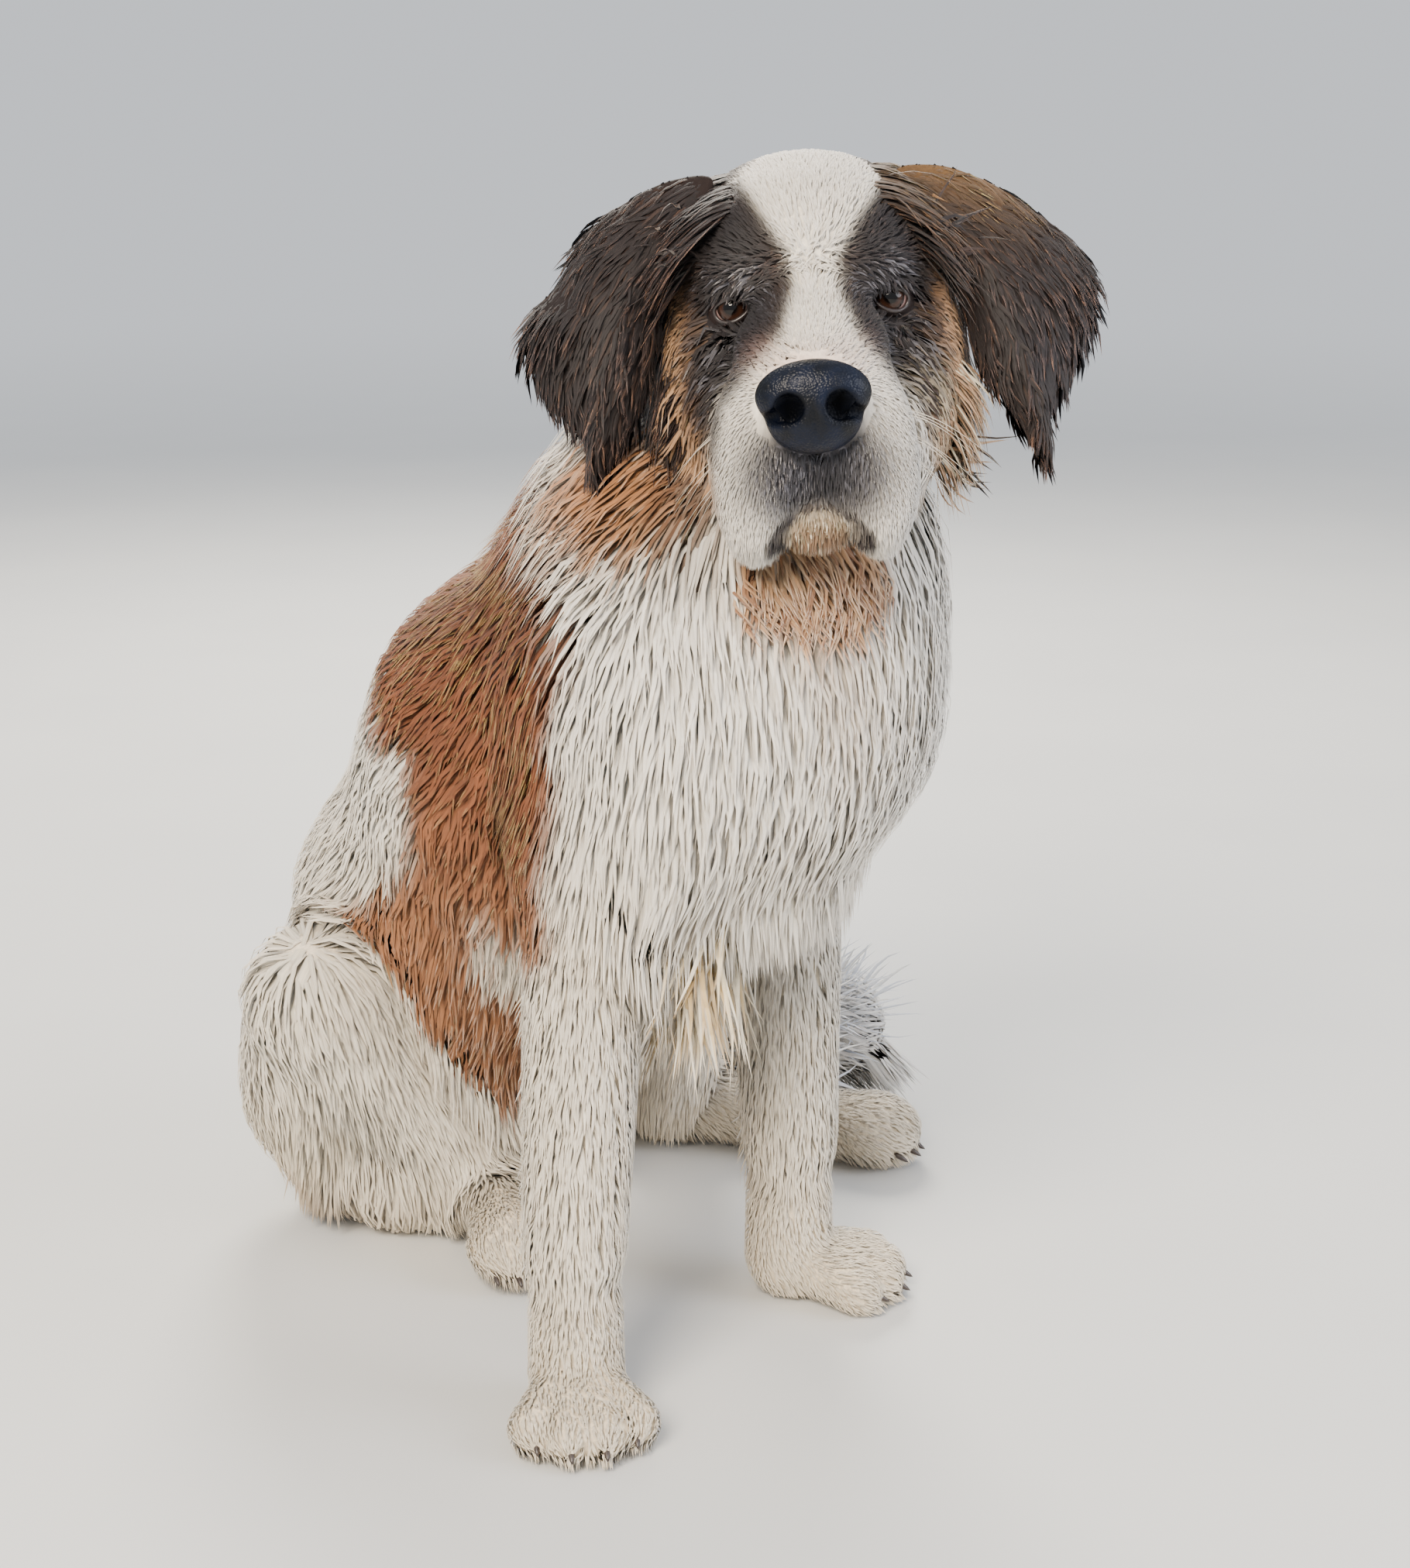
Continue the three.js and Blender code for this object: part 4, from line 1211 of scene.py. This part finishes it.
def hang(name, roots, out, ways, colours, uv, slot, lengths, width, stand, droop, wave, press=0.9):
    """Free tufts that leave their roots, follow a way of their own, wave and droop.

    press is the share of the way's rise off the skin that is taken out.
    """
    count = len(roots)
    ways = ways + dice.normal(0, 0.2, (count, 3))
    ways = unit(ways - out * (press * dot(ways, out))[:, None])
    length = np.broadcast_to(dice.uniform(*lengths, count), count)
    steps = 5 if np.max(lengths) > 60 else 3
    path = np.zeros((steps + 1, count, 3))
    for k in range(steps + 1):
        t = k / steps
        path[k] = roots + ways * (length * t)[:, None] + out * (stand * t * (1 - 0.5 * t) - 1)
        path[k, :, 2] -= droop * t * t
    path = gather_locks(path, np.full(count, 0.4), np.full(count, wave))
    path[:, :, 2] = np.maximum(path[:, :, 2], FLOOR_GAP)
    tint = dice.uniform(0.85, 1.1, count)
    widths = np.full(count, width * (1.0)) * dice.uniform(0.6, 1.1, count)
    facing = out if press > 0 else np.tile(FREE_FACING, (count, 1))
    for piece in grow_batches(name, path, [facing] * (steps + 1), widths, colours, uv, tint):
        finish(piece, slot, HAIR)


def make_ear_base(hide, side):
    """Hair from the skull over the ear's root, wisps between ear and cheek, and the fluff of the cheek."""
    sign = 1 if side == "left" else -1
    roots, uv = hide.plant(3.0)
    near = to_head(roots)[:, 2] > -140
    roots, uv = roots[near], uv[near]
    local = to_head(roots)
    sided = local * (sign, 1, 1)
    over = within(sided, (38, -4, 24), (FAR, 100, 94))
    beside = within(sided, (76, 24, -60), (FAR, 84, 60)) & (dice.random(len(roots)) < 0.5)
    jowl = within(sided, (58, 0, -104), (FAR, 56, -34)) & (dice.random(len(roots)) < 0.6)
    hang_down = (70, 118) if side == "right" else (30, 62)
    fluff = (26, 46) if side == "right" else (36, 64)
    for name, chosen_roots, way, *look in (
        ("ear_top", over, (0.95 * sign, -0.15, 0.05), (30, 62), 1.9, 26, 14, 2.5),
        ("ear_wisps", beside, (0.42 * sign, -0.05, -1.0), hang_down, 1.8, 20, 8, 6.0),
        ("cheek_fluff", jowl, (0.8 * sign, 0.1, -0.75), fluff, 1.5, 30, 6, 3.0),
    ):
        at = np.flatnonzero(chosen_roots)
        _, out = slope(skin_level, roots[at])
        ways = np.tile(HEAD @ np.array(way), (len(at), 1))
        if name == "cheek_fluff":
            shades = ("tan", "cream", "tan") if side == "left" else ("dark_brown", "tan", "dark_brown")
            colours = np.array([COLOURS[shade] for shade in shades])[dice.integers(0, 3, len(at))]
        else:
            colours = ear_colours(local[at], side, dice.random(len(at)) + 0.1)
        hang(f"{name}_{side}", roots[at], out, ways, colours, uv[at], "dark_coat", *look)


# Long free hair: which way it goes, its three shades,
# then its slot, lengths, half width, stand, droop, wave and press
FREE_HAIR = {
    "throat_tuft": ((-0.12, -0.45, -1), ("#b98a62", "#93684a", "#c79e78"),
                    "rust_coat", (22, 50), 1.7, 66, 6, 6.0, 0.9),
    "chest_fringe": ((-0.05, -0.1, -1), ("#e6cfa4", "#d2b07c", "#f0e0c0"),
                     "white_coat", (64, 106), 2.4, 6, 6, 5.0, 0.0),
    "tail_fan": ((0.15, -0.35, 0.35), ("#f4f6fb", "#eaeef6", "#faf8f2"),
                 "white_coat", (62, 108), 2.0, 6, 16, 5.0, -0.5),
    "leg_feathers": ((0.15, 0.5, -1), ("#f3e8d4", "#ead4ae", "#f8f0e1"),
                     "white_coat", (20, 42), 1.2, 14, 4, 3.0, 0.6),
}
# The fringe hangs to one point, in line with this distance along the picture's width
FRINGE_ACROSS = np.array([0.755, -0.656, 0])
FRINGE_LINE = -16
FRINGE_HALF = 32


def make_fringes(hide):
    """The throat's curly tuft, the fringe between the forelegs, the tail's fan and the legs' feathers."""
    roots, uv = hide.plant(3.0)
    x, y, z = roots.T
    off_line = FRINGE_ACROSS @ roots.T - FRINGE_LINE
    aside = np.abs(off_line)
    behind_legs = np.zeros(len(roots), bool)
    for leg in FORELEG.values():
        elbow, wrist = np.array(leg["elbow"]), np.array(leg["wrist"])
        share = (z - wrist[2]) / (elbow[2] - wrist[2])
        gap = roots - wrist - (elbow - wrist) * share[:, None]
        round_leg = (np.hypot(gap[:, 0], gap[:, 1]) < 52) & (gap[:, 1] > 14)
        behind_legs |= round_leg & (share > -0.1) & (share < 0.85)
    chosen = {
        "throat_tuft": ball(roots, *THROAT) < 0,
        "chest_fringe": (aside < FRINGE_HALF) & within(roots, (-40, -46, 360), (56, 72, 446)),
        "tail_fan": within(roots, (250, 250, 52), (FAR, FAR, FAR)) & (np.hypot(x - 388, y - 320) < 110),
        "leg_feathers": behind_legs & (dice.random(len(roots)) < 0.5),
    }
    for name, (way, shades, slot, lengths, *look) in FREE_HAIR.items():
        at = np.flatnonzero(chosen[name])
        _, out = slope(skin_level, roots[at])
        ways = np.tile(np.array(way, float), (len(at), 1))
        if name == "chest_fringe":
            low = out[:, 2] < 0.0
            at, out, ways = at[low], out[low], ways[low]
            ways -= FRINGE_ACROSS * (off_line[at] / 100)[:, None]
            lengths = np.outer(lengths, 1.8 - 1.1 * np.clip(aside[at] / FRINGE_HALF, 0, 1))
        shades = np.array([linear(hex_colour) for hex_colour in shades])
        colours = shades[dice.integers(0, 3, len(at))]
        hang(name, roots[at], out, ways, colours, uv[at], slot, lengths, *look)


def ear_colours(local, side, spread):
    """The colours of an ear and of the hair that falls over it, with a painted highlight over the left ear's
    top.
    """
    colours = np.tile(COLOURS["ear_brown"], (len(local), 1))
    layer = brush(colours, spread[:, None])
    layer("dark", 0.6 * soft_step(np.abs(local[:, 2] + 10) - 60, 20))
    layer("ear_streak", 0.5 * (spread > 0.86))
    # Painted highlight: the left ear's top is lighter and golden, where light falls on it
    if side == "left":
        layer("ear_gold", 0.8 * soft_step(64 - local[:, 2] + 0.25 * np.abs(local[:, 0] - 130), 10))
    return colours


# Eyes


def eye_frame(sign):
    """Centre of an eye, the way it looks, and its across and up, in the head's frame."""
    turn = 0.16 * sign
    ahead = np.array([math.sin(turn), -math.cos(turn), 0.0])
    across = np.array([math.cos(turn), math.sin(turn), 0.0])
    return np.array([sign * EYE_SPACING / 2, EYE_DEPTH, 0.0]), ahead, across, np.array([0, 0, 1.0])


def gaze(sign):
    """Both eyes look at the viewer, a little upwards."""
    return unit(np.array([0.11 * sign - 0.05, -1.0, 0.12]))


def make_eye(side):
    """An eyeball with its cornea."""
    sign = 1 if side == "left" else -1
    centre = eye_frame(sign)[0]
    look = HEAD @ gaze(sign)
    where = place(from_head([centre]))[0]
    eye = added(bpy.ops.mesh.primitive_uv_sphere_add, where, segments=48, ring_count=32,
                radius=EYE_RADIUS * MM)
    eye.name = f"eyeball_{side}"
    bpy.ops.object.transform_apply(location=True, rotation=True, scale=True)
    points = points_of(eye)
    local = to_head(points) - centre
    cornea = np.clip((local @ gaze(sign) / EYE_RADIUS - 0.8) / 0.2, 0, 1)
    move_to(eye, points + look * (cornea * 0.8)[:, None])
    bpy.ops.object.shade_smooth()
    finish(eye, "eye", eye_material(f"eye_{side}", tuple(where), tuple(look)), f"eye_{side}")
    make_lids(side, sign)


# Rings of the lids: how far each lies from the opening, and how far off the eyeball
LID_RINGS = ((0.0, -0.4), (0.4, 0.9), (1.4, 2.0), (3.0, 2.5), (5.0, 1.6), (8.0, -1.0), (11.0, -5.0))


def make_lids(side, sign):
    """Lids: a rolled dark rim round the opening, drooping outwards, that runs out under the fur."""
    centre, ahead, across, up = eye_frame(sign)
    count = 56
    turns = np.arange(count) / count * 2 * math.pi
    u = np.cos(turns)
    outer = u * sign
    half = np.sqrt(np.clip(1 - u * u, 0, 1))
    over = 4.9 * half - 1.3 * outer
    beneath = -(6.3 + 0.9 * outer) * half - 1.3 * outer
    opening = np.stack([u * EYE_OPENING, np.where(np.sin(turns) > 0, over, beneath)], axis=1)
    rings = []
    for spread, lift in LID_RINGS:
        grown = opening * (1 + spread / np.linalg.norm(opening, axis=1))[:, None]
        reach = np.clip((EYE_RADIUS + lift) ** 2 - (grown**2).sum(axis=1), 1.0, None)
        rings.append(centre + grown[:, :1] * across + grown[:, 1:] * up + np.sqrt(reach)[:, None] * ahead)
    for k, target in ((4, 0.6), (5, -1.0), (6, -4.0)):
        rings[k] = to_head(settle(REGIONS[1].level, from_head(rings[k]), target=target, rounds=4))
    points = from_head(np.array(rings).reshape(-1, 3))
    triangles = np.array(ring_faces(len(rings), count))
    if (face_normals(points, triangles) @ (HEAD @ ahead)).sum() < 0:
        triangles = triangles[:, ::-1]
    lids = mesh_from(f"lids_{side}", points, triangles)
    apply_modifier(lids, "SUBSURF", levels=1, render_levels=1)
    finish(lids, "dark_coat", LID)


LID = plain_material("dark_lid_skin", "#241c1b", 0.4, 900.0, 0.0004, coat=0.3)
CLAW = plain_material("dark_horn", "#3a302a", 0.35, 500.0, 0.0003, coat=0.2)


# Nose


NOSE_PARTS = (((NOSE_ASIDE, -122, -44), (35, 17, 21)), ((NOSE_ASIDE, -119, -62), (27, 17, 18)))


def nostrils(local):
    """Hollows of the nostrils, with the slits at their sides, positive outside them."""
    hollows = []
    for sign in (-1, 1):
        pit = oval((NOSE_ASIDE + sign * 15.5, -140, -50), (8.8, 15, 9.2))
        slit = rod((NOSE_ASIDE + sign * 20, -136, -54), 6.0, (NOSE_ASIDE + sign * 33, -122, -58), 2.2)
        hollows.append(smooth_min(pit(local), slit(local), 4))
    return np.minimum(*hollows)


def nose_level(points):
    """Distance outside the nose pad, with its nostrils and the groove between them."""
    local = to_head(points)
    upper, lower = (oval(at, radii)(local) for at, radii in NOSE_PARTS)
    groove = rod((NOSE_ASIDE, -140, -52), 1.6, (NOSE_ASIDE, -134, -84), 1.8)
    total = cut(smooth_min(upper, lower, 12), nostrils(local), 3)
    return cut(total, groove(local), 2.5)


def make_nose():
    """The nose pad, settled on its field, with painted shade darkening the nostrils."""
    nose = joined("nose_pad", [sphere(from_head([at])[0], radii, HEAD, 48, 32) for at, radii in NOSE_PARTS])
    apply_modifier(nose, "REMESH", mode="VOXEL", voxel_size=0.0011)
    move_to(nose, settle(nose_level, points_of(nose), rounds=18, most=1.5))
    smooth_points(nose, 1)
    # Painted shade: the pad's stored colour darkens deep in the nostrils
    depth = soft_step(nostrils(to_head(points_of(nose))) - 0.9, 0.7)[:, None]
    paint(nose, np.ones((len(depth), 3)) * (1 - 0.92 * depth))
    shade_smooth(nose)
    finish(nose, "nose_leather", nose_material(), "nose")


# Claws and whiskers


def make_claws():
    """Short dark claws at the toes' tips."""
    claws = []
    for side in ("right", "left"):
        fore, hind = FORELEG[side], HINDLEG[side]
        _, tips, ahead = toe_tips(fore["wrist"], fore["toes"])
        spots = [(tip + ahead * 18 + (0, 0, -4), ahead) for tip in tips]
        toes = np.array(hind["toes"], float)
        way = toes - np.array(hind["hock"], float)
        way[2] = 0
        way = unit(way)
        beside = np.cross(way, (0, 0, 1))
        spots += [(toes + beside * offset + way * reach + (0, 0, -14), way)
                  for offset, reach in ((-24, 28), (-8, 36), (8, 36), (24, 28))]
        for at, direction in spots:
            claw = added(bpy.ops.mesh.primitive_cone_add, place(at), vertices=12, radius1=4.2 * MM,
                         radius2=0.9 * MM, depth=16 * MM)
            down = Vector(direction) + Vector((0, 0, -0.55))
            claw.rotation_euler = down.to_track_quat("Z", "Y").to_euler()
            claws.append(claw)
    piece = joined("claws", claws)
    apply_modifier(piece, "SUBSURF", levels=1, render_levels=1)
    shade_smooth(piece)
    points = points_of(piece)
    points[:, 2] = np.maximum(points[:, 2], 0.5)
    move_to(piece, points)
    finish(piece, "nose_leather", CLAW)


def make_whiskers():
    """Thin pale whiskers, curving down from the lips."""
    sides, steps = 5, 10
    points, faces = [], []
    for sign in (-1, 1):
        for row in range(3):
            for k in range(3):
                start = np.array([sign * (52 + row), -74 + 16 * k, -66 - 14 * row], float)
                out = np.array([sign * 1.0, 0.35 - 0.2 * k, -0.25 - 0.2 * row])
                out = unit(out)
                size = dice.uniform(40, 62)
                for i in range(steps + 1):
                    t = i / steps
                    at = start + out * size * t + np.array([0, 6, -26]) * t * t
                    radius = 0.34 * (1 - 0.85 * t)
                    for j in range(sides):
                        turn = 2 * math.pi * j / sides
                        points.append(at + radius * np.array([0, math.cos(turn), math.sin(turn)]))
                faces += ring_faces(steps + 1, sides, len(points) - (steps + 1) * sides)
    piece = mesh_from("whiskers", from_head(np.array(points)), np.array(faces))
    finish(piece, "white_coat", plain_material("pale_whisker", "#d8cdbd", 0.4, 300.0, 0.0002))


# Stage: floor, light and camera


SKY = "#e6eaf0"
SKY_STRENGTH = 1.0


def make_stage():
    """A pale floor that fades into the sky, the sky and three soft lights."""
    floor = added(bpy.ops.mesh.primitive_plane_add, (0, 0, -0.0006), size=60)
    floor.name = "floor"
    material, tree, shader = new_material("pale_floor")
    noise = on_object(tree, "TexNoise", in_Scale=3.0)
    colour = ramp_between(tree, noise.outputs["Fac"], (0.0, linear("#c9cac9")), (1.0, linear("#d2d3d1")))
    surface(tree, shader, colour, Roughness=0.8)
    far = on_object(tree, "VectorMath", operation="LENGTH")
    fade = add(tree, "MapRange", {"Value": far.outputs["Value"]}, interpolation_type="SMOOTHSTEP",
               in_From_Min=2.0, in_From_Max=9.0)
    glow = add(tree, "Emission", in_Color=(*linear(SKY), 1), in_Strength=SKY_STRENGTH)
    blend = add(tree, "MixShader", {0: fade.outputs["Result"], 1: shader.outputs["BSDF"],
                                              2: glow.outputs["Emission"]})
    output = next(node for node in tree.nodes if node.type == "OUTPUT_MATERIAL")
    tree.links.new(blend.outputs["Shader"], output.inputs["Surface"])
    floor.data.materials.append(material)

    world = bpy.data.worlds.new("studio")
    world.use_nodes = True
    world.node_tree.nodes["Background"].inputs["Color"].default_value = (*linear(SKY), 1)
    world.node_tree.nodes["Background"].inputs["Strength"].default_value = SKY_STRENGTH
    bpy.context.scene.world = world
    lights = [
        ("key", (-2.8, -1.6, 2.8), 1.8, 300, "#fff1de"),
        ("fill", (1.6, -3.0, 1.8), 2.4, 100, "#f4f6ff"),
        ("back", (1.6, 2.4, 2.6), 1.6, 190, "#fff6e8"),
    ]
    for name, at, size, power, colour in lights:
        light = added(bpy.ops.object.light_add, at, type="AREA")
        light.name = name
        light.data.shape = "DISK"
        light.data.size = size
        light.data.energy = power
        light.data.color = linear(colour)
        aim = Vector((0, 0, 0.45)) - Vector(at)
        light.rotation_euler = aim.to_track_quat("-Z", "Y").to_euler()


# The camera stands as the photo's does: turned round the dog, tilted down, with the photo's field of view
CAMERA_TURN = math.radians(41)
CAMERA_TILT = math.radians(14.86)
CAMERA_HEIGHT = 900.0
CAMERA_BACK = 1765.5
CAMERA_ASIDE = 7.5
PHOTO_FOCAL = 3400.0
PHOTO_HEIGHT = 2024.0
SENSOR = 36.0


def make_camera():
    """The camera, at the photo's viewing angle."""
    ahead = np.array([math.sin(CAMERA_TURN), math.cos(CAMERA_TURN), 0.0])
    aside = np.array([math.cos(CAMERA_TURN), -math.sin(CAMERA_TURN), 0.0])
    at = -ahead * CAMERA_BACK - aside * CAMERA_ASIDE + np.array([0, 0, CAMERA_HEIGHT])
    camera = added(bpy.ops.object.camera_add, place(at))
    camera.name = "camera"
    aim = ahead * math.cos(CAMERA_TILT) - np.array([0, 0, math.sin(CAMERA_TILT)])
    camera.rotation_euler = Vector(aim).to_track_quat("-Z", "Y").to_euler()
    camera.data.sensor_width = SENSOR
    camera.data.lens = PHOTO_FOCAL / PHOTO_HEIGHT * SENSOR
    bpy.context.scene.camera = camera


FLESH = ["head", "jaw", "neck", "chest", "rump", "tail"]
FLESH += [f"{part}_{side}" for part in ("foreleg", "forepaw", "thigh", "shank", "hind_foot")
          for side in ("right", "left")]

make_camera()
skin = make_skin()
hide = Hide(skin)
for piece in make_coat(hide):
    finish(piece, "white_coat", HAIR)
finish(skin, "white_coat", SKIN, *FLESH)
for side in ("right", "left"):
    make_ear(side)
    make_ear_base(hide, side)
    make_eye(side)
make_fringes(hide)
make_nose()
make_claws()
make_whiskers()
make_stage()
